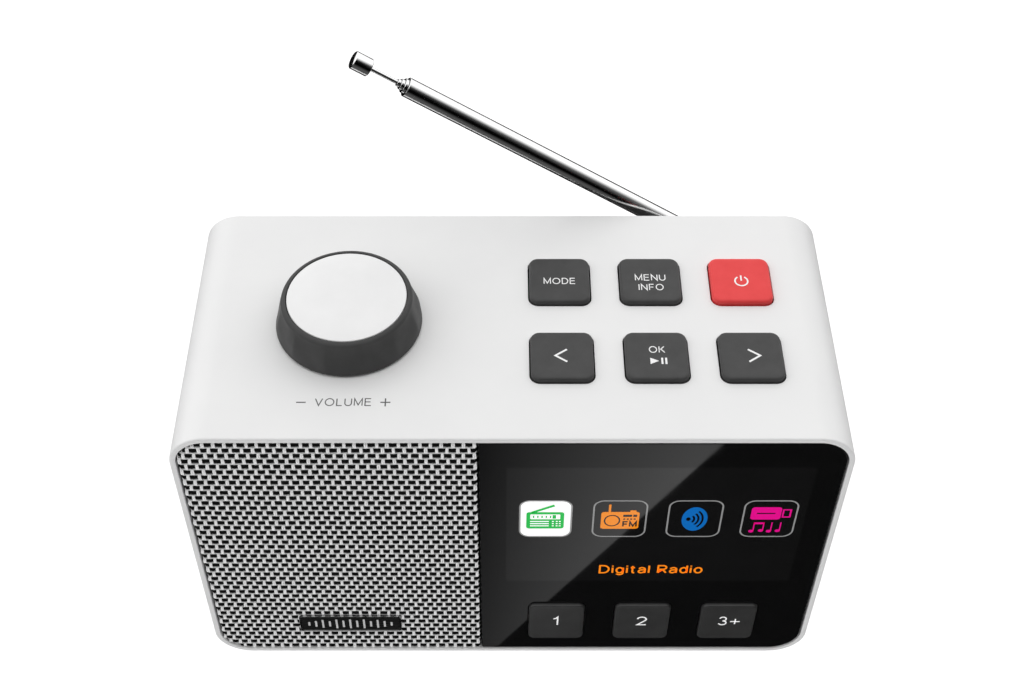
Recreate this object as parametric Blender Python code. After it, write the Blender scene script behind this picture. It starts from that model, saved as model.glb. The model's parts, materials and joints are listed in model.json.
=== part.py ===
"""Tabletop radio: a white one-piece sleeve closed by a cloth grille, a gloss window and a rear panel,
with a fluted volume knob, nine sprung keys and a telescopic antenna on a swivelling, tilting joint.

Metres, +Z up. The model hangs from one empty whose origin is the middle of the cabinet's front rim at
its underside: X runs right, Y runs back from the rim, Z runs up. The radio stands on Z = 0 of the world.
"""

import math

import bmesh
import bpy

# Cabinet
WIDTH = 0.170
HEIGHT = 0.1011
DEPTH = 0.0784
WALL = 0.0015
CORNER_RADIUS = 0.010
RIM_CHAMFER = 0.0004
FIT_GAP = 0.0004
FOOT_HEIGHT = 0.0025
FOOT_HOLE_RADIUS = 0.0022
FOOT_PLACES = [(x, y) for y in (0.012, 0.066) for x in (-0.066, 0.066)]

# Front
DIVIDER_X = -0.0087
PANEL_FACE_Y = 0.0003
WINDOW_THICKNESS = 0.0020
BAFFLE_FRONT_Y = 0.0034
BAFFLE_BACK_Y = 0.0060
SPEAKER_X = -0.0465
SPEAKER_Z = 0.0505
SPEAKER_OPENING = 0.0270
SPEAKER_FLANGE_RADIUS = 0.0355
SPEAKER_FLANGE_BORE = 0.0278
SPEAKER_SCREW_REACH = 0.0325
SPEAKER_SCREW_HOLE = 0.0014
LCD_LOW = (-0.0029, 0.0355)
LCD_HIGH = (0.0779, 0.0915)

# Keys: each rests with its flange under the panel and its plunger over a switch
KEY_TRAVEL = 0.0008
KEY_FLANGE = 0.0009
KEY_FLANGE_DEPTH = 0.0024
KEY_FLANGE_THICKNESS = 0.0008
PLUNGER_HALF = 0.0022
SWITCH_HALF = 0.0030
SWITCH_SLACK = 0.0004
TOP_PLUNGER = 0.0045
PRESET_PLUNGER = 0.0064
TOP_KEY_SIZE = 0.0160
TOP_KEY_RADIUS = 0.0024
TOP_KEY_PROUD = 0.0015
TOP_KEY_COLUMNS = (0.0127, 0.0367, 0.0607)
TOP_KEY_ROWS = (0.02595, 0.05245)
TOP_KEY_NAMES = (("key_previous", "key_ok", "key_next"), ("key_mode", "key_menu", "key_power"))
PRESET_WIDTH = 0.0157
PRESET_HEIGHT = 0.0177
PRESET_RADIUS = 0.0020
PRESET_PROUD = 0.0005
PRESET_COLUMNS = (0.0129, 0.03715, 0.0614)
PRESET_Z = 0.0170

# Volume knob
KNOB_X = -0.0421
KNOB_Y = 0.0384
KNOB_HEIGHT = 0.0100
KNOB_GAP = 0.0006
KNOB_BASE_RADIUS = 0.0189
KNOB_TOP_RADIUS = 0.0169
KNOB_CAP_RADIUS = 0.0153
KNOB_FLUTES = 12
FLUTE_DEPTH = 0.0005
BUSHING_HOLE_RADIUS = 0.0038

# Rear
PANEL_RECESS = 0.0020
PANEL_THICKNESS = 0.0025
REAR_FACE_Y = DEPTH - PANEL_RECESS
SOCKET_Z = 0.0149
DC_X = 0.0520
USB_X = 0.0320
HEADPHONE_X = 0.0140
AUX_X = 0.0
SCREW_X = 0.075
SCREW_ROWS = (0.0105, 0.0906)
SCREW_HOLE_RADIUS = 0.0017
BOARD_LOW_Z = 0.0080
BOARD_HIGH_Z = 0.0096
BOARD_GAP = 0.0003

# Antenna: its pivot behind the rear panel, the angle above horizontal and the telescopic sections
PIVOT_X = 0.070
PIVOT_Y = 0.0845
PIVOT_Z = 0.0758
ANTENNA_LIFT = math.radians(33.9)
EAR_RADIUS = 0.0030
EAR_INNER = 0.0019
EAR_OUTER = 0.0035
PIN_RADIUS = 0.0010
PIN_HOLE_RADIUS = 0.0013
TONGUE_HALF = 0.0016
TUBE_END = 0.1174
SECTION_STEP = 0.0009
SECTIONS = (
    ("antenna_tube_1", 0.0065, 0.00265, 0.00230),
    ("antenna_tube_2", 0.0085, 0.00200, 0.00172),
    ("antenna_tube_3", 0.0095, 0.00148, 0.00125),
    ("antenna_tube_4", 0.0105, 0.00102, 0.00082),
)
ROD_RADIUS = 0.0006
ROD_START = 0.0200
TIP_START = 0.1283
TIP_LENGTH = 0.0049
TIP_RADIUS = 0.00245

# The model is centred from the preset keys' faces to the back of the antenna's ears.
ORIGIN_Y = (PRESET_PROUD - PIVOT_Y - EAR_RADIUS) / 2


# ---------------------------------------------------------------- scene and materials

for old in list(bpy.data.objects):
    bpy.data.objects.remove(old, do_unlink=True)


def finish(name, colour, roughness, metallic=0.0):
    """A plain Principled material."""
    material = bpy.data.materials.new(name)
    material.use_nodes = True
    shader = material.node_tree.nodes["Principled BSDF"]
    shader.inputs["Base Color"].default_value = (*colour, 1.0)
    shader.inputs["Roughness"].default_value = roughness
    shader.inputs["Metallic"].default_value = metallic
    material.diffuse_color = (*colour, 1.0)
    return material


WHITE = finish("white_satin_plastic", (0.84, 0.84, 0.83), 0.42)
BLACK = finish("black_moulded_plastic", (0.020, 0.020, 0.021), 0.55)
GLOSS_BLACK = finish("gloss_black_window", (0.008, 0.008, 0.009), 0.06)
GREY = finish("dark_grey_plastic", (0.080, 0.080, 0.082), 0.48)
RED = finish("red_plastic", (0.72, 0.085, 0.090), 0.45)
CLOTH = finish("woven_cloth", (0.42, 0.42, 0.42), 0.90)
CHROME = finish("chrome", (0.80, 0.80, 0.80), 0.08, 1.0)
STEEL = finish("plated_steel", (0.62, 0.62, 0.60), 0.35, 1.0)
ALUMINIUM = finish("aluminium", (0.70, 0.70, 0.72), 0.40, 1.0)
BRASS = finish("brass", (0.70, 0.52, 0.22), 0.30, 1.0)
RUBBER = finish("rubber", (0.025, 0.025, 0.025), 0.85)
BOARD = finish("circuit_board", (0.03, 0.16, 0.07), 0.50)
PAPER = finish("cone_paper", (0.035, 0.035, 0.037), 0.90)

cabinet = bpy.data.objects.new("cabinet_origin", None)
cabinet.location = (0.0, ORIGIN_Y, FOOT_HEIGHT)
bpy.context.collection.objects.link(cabinet)


# ---------------------------------------------------------------- shape helpers

def add_object(name, mesh_data, material, location=(0.0, 0.0, 0.0), parent=None):
    """Turn a bmesh into a named object with outward faces and smooth shading below sharp edges."""
    bmesh.ops.recalc_face_normals(mesh_data, faces=mesh_data.faces)
    mesh = bpy.data.meshes.new(name)
    mesh_data.to_mesh(mesh)
    mesh_data.free()
    mesh.materials.append(material)
    mesh.shade_smooth()
    mesh.set_sharp_from_angle(angle=math.radians(30))
    piece = bpy.data.objects.new(name, mesh)
    piece.location = location
    piece.parent = parent or cabinet
    bpy.context.collection.objects.link(piece)
    return piece


def loft(name, rings, material, closed=False, **placing):
    """Skin equal rings of points; the ends are capped, or joined when closed."""
    shell = bmesh.new()
    rows = [[shell.verts.new(point) for point in ring] for ring in rings]
    pairs = list(zip(rows, rows[1:]))
    if closed:
        pairs.append((rows[-1], rows[0]))
    for low, high in pairs:
        for index, corner in enumerate(low):
            following = (index + 1) % len(low)
            shell.faces.new((corner, low[following], high[following], high[index]))
    if not closed:
        shell.faces.new(list(reversed(rows[0])))
        shell.faces.new(rows[-1])
    return add_object(name, shell, material, **placing)


def on_axis(axis, first, second, along):
    """A point from two cross coordinates and a distance along X, Y or Z."""
    return {"X": (along, first, second), "Y": (first, along, second), "Z": (first, second, along)}[axis]


def rounded_outline(low, high, radii, steps=4):
    """A rectangle's outline with its own radius at each corner, anticlockwise from low right."""
    if not isinstance(radii, tuple):
        radii = (radii,) * 4
    corners = ((high[0], low[1], 1, -1), (high[0], high[1], 1, 1),
               (low[0], high[1], -1, 1), (low[0], low[1], -1, -1))
    outline = []
    for quarter, ((x, y, side_x, side_y), radius) in enumerate(zip(corners, radii)):
        centre = (x - side_x * radius, y - side_y * radius)
        for step in range(steps + 1):
            angle = math.pi / 2 * (quarter - 1 + step / steps)
            outline.append((centre[0] + radius * math.cos(angle), centre[1] + radius * math.sin(angle)))
    return outline


def prism(name, outline, start, end, axis, material, **placing):
    """An outline extruded along an axis."""
    rings = [[on_axis(axis, a, b, along) for a, b in outline] for along in (start, end)]
    return loft(name, rings, material, **placing)


def block(name, low, high, material, **placing):
    """A plain box from its lowest to its highest corner."""
    outline = ((low[0], low[1]), (high[0], low[1]), (high[0], high[1]), (low[0], high[1]))
    return prism(name, outline, low[2], high[2], "Z", material, **placing)


def turned(name, profile, axis, material, segments=20, closed=False, swell=None, **placing):
    """A profile of (radius, along) points turned about an axis; it closes on the axis or on itself."""
    shell = bmesh.new()
    rows = []
    for radius, along in profile:
        if radius == 0.0:
            rows.append([shell.verts.new(on_axis(axis, 0.0, 0.0, along))])
            continue
        ring = []
        for index in range(segments):
            angle = 2 * math.pi * index / segments
            reach = radius - (swell(radius, along, angle) if swell else 0.0)
            point = on_axis(axis, reach * math.cos(angle), reach * math.sin(angle), along)
            ring.append(shell.verts.new(point))
        rows.append(ring)
    pairs = list(zip(rows, rows[1:]))
    if closed:
        pairs.append((rows[-1], rows[0]))
    for low, high in pairs:
        for index in range(segments):
            following = (index + 1) % segments
            corners = [low[index % len(low)], low[following % len(low)],
                       high[following % len(high)], high[index % len(high)]]
            shell.faces.new(list(dict.fromkeys(corners)))
    return add_object(name, shell, material, **placing)


def combine(target, tool, operation):
    """Cut or add a hidden guide object with a live Boolean."""
    tool.hide_render = True
    tool.display_type = "WIRE"
    boolean = target.modifiers.new(tool.name, "BOOLEAN")
    boolean.operation = operation
    boolean.solver = "EXACT"
    boolean.object = tool


def cut(target, tool):
    combine(target, tool, "DIFFERENCE")


def add(target, tool):
    combine(target, tool, "UNION")


def hole(target, name, centre, radius, start, end, axis, segments=16):
    """Drill a round hole; centre is the pair of cross coordinates."""
    profile = ((0.0, start), (radius, start), (radius, end), (0.0, end))
    spot = on_axis(axis, centre[0], centre[1], 0.0)
    cut(target, turned(name, profile, axis, BLACK, segments, location=spot, parent=target.parent))


# ---------------------------------------------------------------- cabinet sleeve and feet

def sleeve_outline(inset, steps=8):
    """The cabinet's cross-section, moved in by inset."""
    low = (-WIDTH / 2 + inset, inset)
    high = (WIDTH / 2 - inset, HEIGHT - inset)
    return rounded_outline(low, high, CORNER_RADIUS - inset, steps)


def make_sleeve():
    """The white shell, open at the front and back, with the key, knob and foot holes."""
    stations = ((RIM_CHAMFER, 0.0), (0.0, RIM_CHAMFER), (0.0, DEPTH - RIM_CHAMFER),
                (RIM_CHAMFER, DEPTH), (WALL, DEPTH), (WALL, 0.0))
    rings = [[(x, y, z) for x, z in sleeve_outline(inset)] for inset, y in stations]
    sleeve = loft("cabinet_sleeve", rings, WHITE, closed=True)
    half = TOP_KEY_SIZE / 2 + FIT_GAP
    for y in TOP_KEY_ROWS:
        for x in TOP_KEY_COLUMNS:
            outline = rounded_outline((x - half, y - half), (x + half, y + half), TOP_KEY_RADIUS + FIT_GAP)
            slot = prism("cut_top_key", outline, HEIGHT - 2 * WALL, HEIGHT + WALL, "Z", WHITE)
            cut(sleeve, slot)
    hole(sleeve, "cut_encoder", (KNOB_X, KNOB_Y), BUSHING_HOLE_RADIUS, HEIGHT - 2 * WALL, HEIGHT + WALL, "Z")
    for x, y in FOOT_PLACES:
        hole(sleeve, "cut_foot", (x, y), FOOT_HOLE_RADIUS, -WALL, 2 * WALL, "Z")


def make_feet():
    """Push-in rubber feet, each with a barbed stem through the sleeve's floor."""
    profile = ((0.0, -FOOT_HEIGHT), (0.0054, -FOOT_HEIGHT), (0.0060, -0.0019), (0.0060, -0.0003),
               (0.0018, -0.0003), (0.0018, 0.0019), (0.0027, 0.0019), (0.0016, 0.0034), (0.0, 0.0034))
    for number, (x, y) in enumerate(FOOT_PLACES, 1):
        turned(f"foot_{number}", profile, "Z", RUBBER, 16, location=(x, y, 0.0))


make_sleeve()
make_feet()


# ---------------------------------------------------------------- front: grille, window, baffle

def front_outline(left, right, radii, grow=0.0):
    """A panel inside the rim from left to right, with the corner radii of rounded_outline."""
    margin = WALL + FIT_GAP - grow
    low = (left, margin)
    high = (right, HEIGHT - margin)
    return rounded_outline(low, high, radii, 6)


INSIDE_X = WIDTH / 2 - WALL - FIT_GAP
INSIDE_RADIUS = CORNER_RADIUS - WALL - FIT_GAP
SQUARE_RADIUS = 0.0006


def make_grille():
    """The stretched cloth, its moulded frame and the plate pinned through it."""
    radii = (SQUARE_RADIUS, SQUARE_RADIUS, INSIDE_RADIUS, INSIDE_RADIUS)
    outline = front_outline(-INSIDE_X, DIVIDER_X, radii)
    prism("grille_cloth", outline, 0.0004, 0.0012, "Y", CLOTH)
    frame = prism("grille_frame", outline, 0.0015, 0.0030, "Y", BLACK)
    opening = rounded_outline((-0.0790, 0.0060), (-0.0130, 0.0951), 0.0040)
    cut(frame, prism("cut_grille", opening, 0.0, 0.0050, "Y", BLACK))
    plate = rounded_outline((-0.0600, 0.0122), (-0.0312, 0.0199), 0.0008)
    prism("nameplate", plate, -0.0005, 0.0001, "Y", BLACK)


def make_window():
    """The glossy window with three key openings."""
    radii = (INSIDE_RADIUS, INSIDE_RADIUS, SQUARE_RADIUS, SQUARE_RADIUS)
    outline = front_outline(DIVIDER_X + FIT_GAP, INSIDE_X, radii)
    window = prism("display_window", outline, PANEL_FACE_Y, PANEL_FACE_Y + WINDOW_THICKNESS, "Y", GLOSS_BLACK)
    for x in PRESET_COLUMNS:
        low = (x - PRESET_WIDTH / 2 - FIT_GAP, PRESET_Z - PRESET_HEIGHT / 2 - FIT_GAP)
        high = (x + PRESET_WIDTH / 2 + FIT_GAP, PRESET_Z + PRESET_HEIGHT / 2 + FIT_GAP)
        opening = rounded_outline(low, high, PRESET_RADIUS + FIT_GAP)
        cut(window, prism("cut_preset", opening, -0.002, 0.005, "Y", BLACK))


def make_baffle():
    """The inner front wall that carries the loudspeaker, the display and the preset keys."""
    baffle = prism("front_baffle", front_outline(-INSIDE_X, INSIDE_X, INSIDE_RADIUS),
                   BAFFLE_FRONT_Y, BAFFLE_BACK_Y, "Y", BLACK)
    span = (BAFFLE_FRONT_Y - 0.002, BAFFLE_BACK_Y + 0.002)
    hole(baffle, "cut_speaker", (SPEAKER_X, SPEAKER_Z), SPEAKER_OPENING, *span, "Y", 24)
    room = 0.0006
    low = (LCD_LOW[0] - room, LCD_LOW[1] - room)
    high = (LCD_HIGH[0] + room, LCD_HIGH[1] + room)
    cut(baffle, prism("cut_lcd", rounded_outline(low, high, 0.001, 2), *span, "Y", BLACK))
    for x in PRESET_COLUMNS:
        reach_x = PRESET_WIDTH / 2 + KEY_FLANGE + FIT_GAP
        reach_z = PRESET_HEIGHT / 2 + KEY_FLANGE + FIT_GAP
        outline = rounded_outline((x - reach_x, PRESET_Z - reach_z), (x + reach_x, PRESET_Z + reach_z), 0.001, 2)
        cut(baffle, prism("cut_key_well", outline, *span, "Y", BLACK))
    for x, z in speaker_screw_places():
        hole(baffle, "cut_speaker_screw", (x, z), SPEAKER_SCREW_HOLE, *span, "Y", 10)


def speaker_screw_places():
    """The four screw places on the loudspeaker's flange."""
    return [(SPEAKER_X + SPEAKER_SCREW_REACH * math.cos(angle), SPEAKER_Z + SPEAKER_SCREW_REACH * math.sin(angle))
            for angle in (math.radians(45 + 90 * turn) for turn in range(4))]


make_grille()
make_window()
make_baffle()


# ---------------------------------------------------------------- display and preset key board

def make_display():
    """The display module in the baffle's opening and the bracket that holds it from behind."""
    block("lcd_module", (LCD_LOW[0], 0.0027, LCD_LOW[1]), (LCD_HIGH[0], 0.0066, LCD_HIGH[1]), BLACK)
    outline = rounded_outline((LCD_LOW[0] - 0.003, LCD_LOW[1] - 0.003), (LCD_HIGH[0] + 0.003, LCD_HIGH[1] + 0.003),
                              0.002, 2)
    bracket = prism("lcd_bracket", outline, 0.0070, 0.0084, "Y", STEEL)
    opening = rounded_outline((LCD_LOW[0] + 0.006, LCD_LOW[1] + 0.006), (LCD_HIGH[0] - 0.006, LCD_HIGH[1] - 0.006),
                              0.002, 2)
    cut(bracket, prism("cut_bracket", opening, 0.005, 0.010, "Y", STEEL))


def make_key_boards():
    """A circuit board behind the preset keys and one under the top keys, with a tact switch for each key."""
    half = SWITCH_HALF
    front_board = block("front_key_board", (0.0020, 0.0090, 0.0060), (0.0730, 0.0106, 0.0300), BOARD)
    contact = PANEL_FACE_Y + PRESET_PLUNGER + KEY_TRAVEL + SWITCH_SLACK
    for x in PRESET_COLUMNS:
        add(front_board, block("add_switch", (x - half, contact, PRESET_Z - half), (x + half, 0.0094, PRESET_Z + half),
                               BLACK))
    top_board = block("top_key_board", (0.0020, 0.0160, 0.0904), (0.0720, 0.0630, 0.0920), BOARD)
    contact = HEIGHT - TOP_PLUNGER - KEY_TRAVEL - SWITCH_SLACK
    for y in TOP_KEY_ROWS:
        for x in TOP_KEY_COLUMNS:
            add(top_board, block("add_switch", (x - half, y - half, 0.0916), (x + half, y + half, contact), BLACK))


make_display()
make_key_boards()


# ---------------------------------------------------------------- loudspeaker

def make_speaker():
    """A small full-range driver behind the cloth: gasket, basket, cone, dust cap and magnet."""
    place = {"location": (SPEAKER_X, 0.0, SPEAKER_Z)}
    bore = SPEAKER_FLANGE_BORE
    flange = SPEAKER_FLANGE_RADIUS
    gasket = turned("speaker_gasket", ((bore, 0.0063), (flange, 0.0063), (flange, 0.0073), (bore, 0.0073)),
                    "Y", RUBBER, 20, closed=True, **place)
    basket_profile = ((bore, 0.0076), (flange, 0.0076), (flange, 0.0090), (0.0295, 0.0090),
                      (0.0270, 0.0150), (0.0190, 0.0240), (0.0110, 0.0240), (0.0110, 0.0228),
                      (0.0180, 0.0228), (0.0258, 0.0145), (bore, 0.0090))
    basket = turned("speaker_basket", basket_profile, "Y", STEEL, 20, closed=True, **place)
    for x, z in speaker_screw_places():
        hole(gasket, "cut_gasket_screw", (x, z), SPEAKER_SCREW_HOLE, 0.005, 0.012, "Y", 10)
        hole(basket, "cut_basket_screw", (x, z), SPEAKER_SCREW_HOLE, 0.005, 0.012, "Y", 10)
    cone_profile = ((0.0262, 0.0072), (0.0268, 0.0080), (0.0240, 0.0090), (0.0090, 0.0200),
                    (0.0086, 0.0192), (0.0236, 0.0082), (0.0258, 0.0072))
    turned("speaker_cone", cone_profile, "Y", PAPER, 20, closed=True, **place)
    dome = [(0.0082 * math.sin(turn), 0.0188 - 0.0042 * math.cos(turn))
            for turn in (math.radians(18 * step) for step in range(6))]
    inner_dome = [(0.93 * radius, along + 0.0004) for radius, along in reversed(dome)]
    turned("speaker_dust_cap", dome + inner_dome, "Y", PAPER, 16, **place)
    magnet_profile = ((0.0, 0.0204), (0.0070, 0.0204), (0.0070, 0.0244), (0.0185, 0.0244), (0.0185, 0.0262),
                      (0.0168, 0.0264), (0.0168, 0.0336), (0.0185, 0.0338), (0.0185, 0.0356), (0.0, 0.0356))
    turned("speaker_magnet", magnet_profile, "Y", STEEL, 20, **place)
    screw_profile = ((0.0, 0.0104), (0.0023, 0.0104), (0.0023, 0.0093), (0.0011, 0.0093),
                     (0.0011, 0.0038), (0.0, 0.0038))
    for number, (x, z) in enumerate(speaker_screw_places(), 1):
        turned(f"speaker_screw_{number}", screw_profile, "Y", STEEL, 12, location=(x, 0.0, z))


make_speaker()


# ---------------------------------------------------------------- main board and rear sockets

def make_main_board():
    """The main board on the floor of the cabinet with its tuner can, amplifier heatsink and capacitor."""
    mount = BOARD_HIGH_Z + BOARD_GAP
    block("main_board", (-0.0200, 0.0400, BOARD_LOW_Z), (0.0700, 0.0733, BOARD_HIGH_Z), BOARD)
    block("tuner_can", (0.0400, 0.0430, mount), (0.0660, 0.0590, 0.0150), STEEL)
    fins = 6
    pitch = 0.0040
    outline = [(0.0, 0.0), (fins * pitch - pitch / 2, 0.0)]
    for fin in reversed(range(fins)):
        left = fin * pitch
        outline += [(left + pitch / 2, 0.0160), (left, 0.0160)]
        if fin:
            outline += [(left, 0.0030), (left - pitch / 2, 0.0030)]
    shifted = [(-0.0160 + x, mount + z) for x, z in outline]
    prism("amplifier_heatsink", shifted, 0.0440, 0.0560, "Y", ALUMINIUM)
    can = ((0.0, 0.0), (0.0046, 0.0), (0.0050, 0.0006), (0.0050, 0.0150), (0.0045, 0.0156), (0.0, 0.0156))
    turned("capacitor", can, "Z", BLACK, 20, location=(0.0260, 0.0500, mount))


def make_round_socket(name, x, nozzle, bore, contact=0.0):
    """A socket with a square body on the board and a round mouth in the rear panel."""
    body_half = 0.0048
    mouth = REAR_FACE_Y
    socket = block(name, (x - body_half, 0.0620, SOCKET_Z - body_half), (x + body_half, 0.0735, SOCKET_Z + body_half),
                   BLACK)
    spot = (x, 0.0, SOCKET_Z)
    add(socket, turned("add_nozzle", ((0.0, 0.0700), (nozzle, 0.0700), (nozzle, mouth), (0.0, mouth)),
                       "Y", BLACK, 16, location=spot))
    start = 0.0650
    hole(socket, "cut_bore", (x, SOCKET_Z), bore, start, mouth + 0.002, "Y")
    if contact:
        pin = ((0.0, start - 0.001), (contact, start - 0.001), (contact, mouth - 0.001), (0.0, mouth - 0.001))
        add(socket, turned("add_contact", pin, "Y", BLACK, 12, location=spot))


def make_usb_socket():
    """A flat socket with its tongue."""
    x = USB_X
    socket = block("usb_socket", (x - 0.0072, 0.0600, 0.0101), (x + 0.0072, REAR_FACE_Y, 0.0173), STEEL)
    cut(socket, block("cut_cavity", (x - 0.00625, 0.0625, 0.0112), (x + 0.00625, REAR_FACE_Y + 0.002, 0.0163), STEEL))
    add(socket, block("add_tongue", (x - 0.0055, 0.0615, 0.0140), (x + 0.0055, REAR_FACE_Y - 0.0008, 0.0157), BLACK))


make_main_board()
make_round_socket("dc_inlet", DC_X, 0.0043, 0.0031, 0.0010)
make_round_socket("headphone_jack", HEADPHONE_X, 0.0036, 0.0018)
make_round_socket("aux_jack", AUX_X, 0.0036, 0.0018)
make_usb_socket()


# ---------------------------------------------------------------- rear panel and screws

def make_rear_panel():
    """The recessed back with its socket, screw and antenna holes."""
    span = (REAR_FACE_Y - PANEL_THICKNESS, REAR_FACE_Y)
    panel = prism("rear_panel", front_outline(-INSIDE_X, INSIDE_X, INSIDE_RADIUS), *span, "Y", BLACK)
    through = (span[0] - 0.002, span[1] + 0.002)
    hole(panel, "cut_dc", (DC_X, SOCKET_Z), 0.0047, *through, "Y")
    for x in (HEADPHONE_X, AUX_X):
        hole(panel, "cut_jack", (x, SOCKET_Z), 0.0040, *through, "Y")
    cut(panel, block("cut_usb", (USB_X - 0.0076, through[0], 0.0097), (USB_X + 0.0076, through[1], 0.0177), BLACK))
    hole(panel, "cut_swivel", (PIVOT_X, PIVOT_Z), 0.0040, *through, "Y")
    head = ((0.0, REAR_FACE_Y + 0.0015), (0.0020, REAR_FACE_Y + 0.0014), (0.0028, REAR_FACE_Y + 0.0003),
            (0.0013, REAR_FACE_Y + 0.0003), (0.0013, 0.0660), (0.0006, 0.0650), (0.0, 0.0650))
    places = [(side * SCREW_X, z) for z in SCREW_ROWS for side in (-1, 1)]
    for number, (x, z) in enumerate(places, 1):
        hole(panel, "cut_screw", (x, z), SCREW_HOLE_RADIUS, *through, "Y", 12)
        turned(f"rear_screw_{number}", head, "Y", STEEL, 16, location=(x, 0.0, z))


make_rear_panel()


# ---------------------------------------------------------------- keys

def key_rings(half_x, half_y, radius, proud, below):
    """A key from its plunger up: flange under the panel, straight sides and a soft top edge.

    Heights are measured from the panel's face; below is how far the plunger's end lies under it.
    """
    flange_top = -KEY_FLANGE_DEPTH
    flange_base = flange_top - KEY_FLANGE_THICKNESS
    stations = ((PLUNGER_HALF - half_x, -below), (PLUNGER_HALF - half_x, flange_base),
                (KEY_FLANGE, flange_base), (KEY_FLANGE, flange_top), (0.0, flange_top),
                (0.0, proud - 0.0007), (-0.0002, proud - 0.0002), (-0.0008, proud))
    rings = []
    for grow, z in stations:
        reach_x = half_x + grow
        reach_y = half_y + grow if reach_x > PLUNGER_HALF + 0.0001 else PLUNGER_HALF
        corner = min(max(radius + grow, 0.0008), reach_x - 0.0001)
        rings.append([(x, y, z) for x, y in rounded_outline((-reach_x, -reach_y), (reach_x, reach_y), corner)])
    return rings


def make_top_keys():
    """Six square keys through the top of the sleeve; each slides down onto its switch."""
    half = TOP_KEY_SIZE / 2
    rings = key_rings(half, half, TOP_KEY_RADIUS, TOP_KEY_PROUD, TOP_PLUNGER)
    for y, names in zip(TOP_KEY_ROWS, TOP_KEY_NAMES):
        for x, name in zip(TOP_KEY_COLUMNS, names):
            material = RED if name == "key_power" else GREY
            loft(name, rings, material, location=(x, y, HEIGHT))


def make_preset_keys():
    """Three keys through the window; each slides back onto its switch."""
    rings = key_rings(PRESET_WIDTH / 2, PRESET_HEIGHT / 2, PRESET_RADIUS, PRESET_PROUD + PANEL_FACE_Y, PRESET_PLUNGER)
    for number, x in enumerate(PRESET_COLUMNS, 1):
        key = loft(f"preset_key_{number}", rings, GREY, location=(x, PANEL_FACE_Y, PRESET_Z))
        key.rotation_euler = (math.pi / 2, 0.0, 0.0)


make_top_keys()
make_preset_keys()


# ---------------------------------------------------------------- volume knob and encoder

def flute(radius, along, angle):
    """How far the knob's side is scooped in between two ridges; the top and bottom edges stay round."""
    low, high = KNOB_GAP + 0.0005, KNOB_HEIGHT - 0.0011
    if radius < KNOB_TOP_RADIUS - 0.0001 or not low < along < high:
        return 0.0
    share = (along - low) / (high - low)
    return FLUTE_DEPTH * math.sin(math.pi * share) * abs(math.cos(angle * KNOB_FLUTES / 2))


def make_knob():
    """The fluted knob, hollow underneath over the encoder's nut, with a cap let into its top."""
    place = {"location": (KNOB_X, KNOB_Y, HEIGHT)}
    top = KNOB_HEIGHT
    side = []
    side_top = top - 0.0010
    side_base = KNOB_GAP + 0.0004
    rows = 6
    for step in range(rows):
        share = step / (rows - 1)
        spread = (KNOB_BASE_RADIUS - KNOB_TOP_RADIUS) * share ** 1.6
        side.append((KNOB_TOP_RADIUS + spread, side_top - share * (side_top - side_base)))
    recess = KNOB_CAP_RADIUS + 0.0003
    profile = [(0.0, top - 0.0009), (recess, top - 0.0009), (recess, top - 0.0001), (recess + 0.0002, top),
               (KNOB_TOP_RADIUS - 0.0008, top), (KNOB_TOP_RADIUS - 0.0002, top - 0.0004)]
    profile += side
    profile += [(KNOB_BASE_RADIUS - 0.0004, KNOB_GAP), (0.0160, KNOB_GAP), (0.0150, 0.0066), (0.0056, 0.0066),
                (0.0056, 0.0042), (0.0030, 0.0042), (0.0030, 0.0079), (0.0, 0.0079)]
    turned("knob_body", profile, "Z", GREY, 48, swell=flute, **place)
    cap = ((0.0, top), (KNOB_CAP_RADIUS - 0.0004, top), (KNOB_CAP_RADIUS, top - 0.0003),
           (KNOB_CAP_RADIUS, top - 0.0006), (0.0, top - 0.0006))
    turned("knob_cap", cap, "Z", WHITE, 48, **place)


def make_encoder():
    """The rotary encoder hung from the top wall: body with bushing, nut above the wall, and shaft."""
    place = {"location": (KNOB_X, KNOB_Y, HEIGHT)}
    under = -WALL - 0.0004
    body = block("encoder_body", (-0.0060, -0.0060, under - 0.0065), (0.0060, 0.0060, under), STEEL, **place)
    bushing = ((0.0, under - 0.001), (0.0034, under - 0.001), (0.0034, 0.0038), (0.0, 0.0038))
    add(body, turned("add_bushing", bushing, "Z", BRASS, 24, **place))
    hole(body, "cut_bushing", (KNOB_X, KNOB_Y), 0.0029, HEIGHT - 0.0060, HEIGHT + 0.0050, "Z")
    hexagon = [(0.0056 * math.cos(math.radians(60 * side)), 0.0056 * math.sin(math.radians(60 * side)))
               for side in range(6)]
    nut = prism("encoder_nut", hexagon, 0.0003, 0.0022, "Z", BRASS, **place)
    hole(nut, "cut_nut", (KNOB_X, KNOB_Y), 0.0037, HEIGHT - 0.0010, HEIGHT + 0.0050, "Z")
    shaft = ((0.0, -0.0056), (0.0026, -0.0056), (0.0026, 0.0072), (0.0022, 0.0076), (0.0, 0.0076))
    turned("encoder_shaft", shaft, "Z", ALUMINIUM, 24, **place)


make_knob()
make_encoder()


# ---------------------------------------------------------------- telescopic antenna

pivot = bpy.data.objects.new("antenna_pivot", None)
pivot.parent = cabinet
pivot.location = (PIVOT_X, PIVOT_Y, PIVOT_Z)
pivot.rotation_euler = (0.0, math.pi + ANTENNA_LIFT, 0.0)
bpy.context.collection.objects.link(pivot)
ON_PIVOT = {"parent": pivot}


def round_ended(width, start, centre, steps=6):
    """A strip along Y from start with a half-round far end about centre."""
    outline = [(-width, start), (width, start)]
    for step in range(steps + 1):
        angle = math.pi * step / steps
        outline.append((width * math.cos(angle), centre + width * math.sin(angle)))
    return outline


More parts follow.
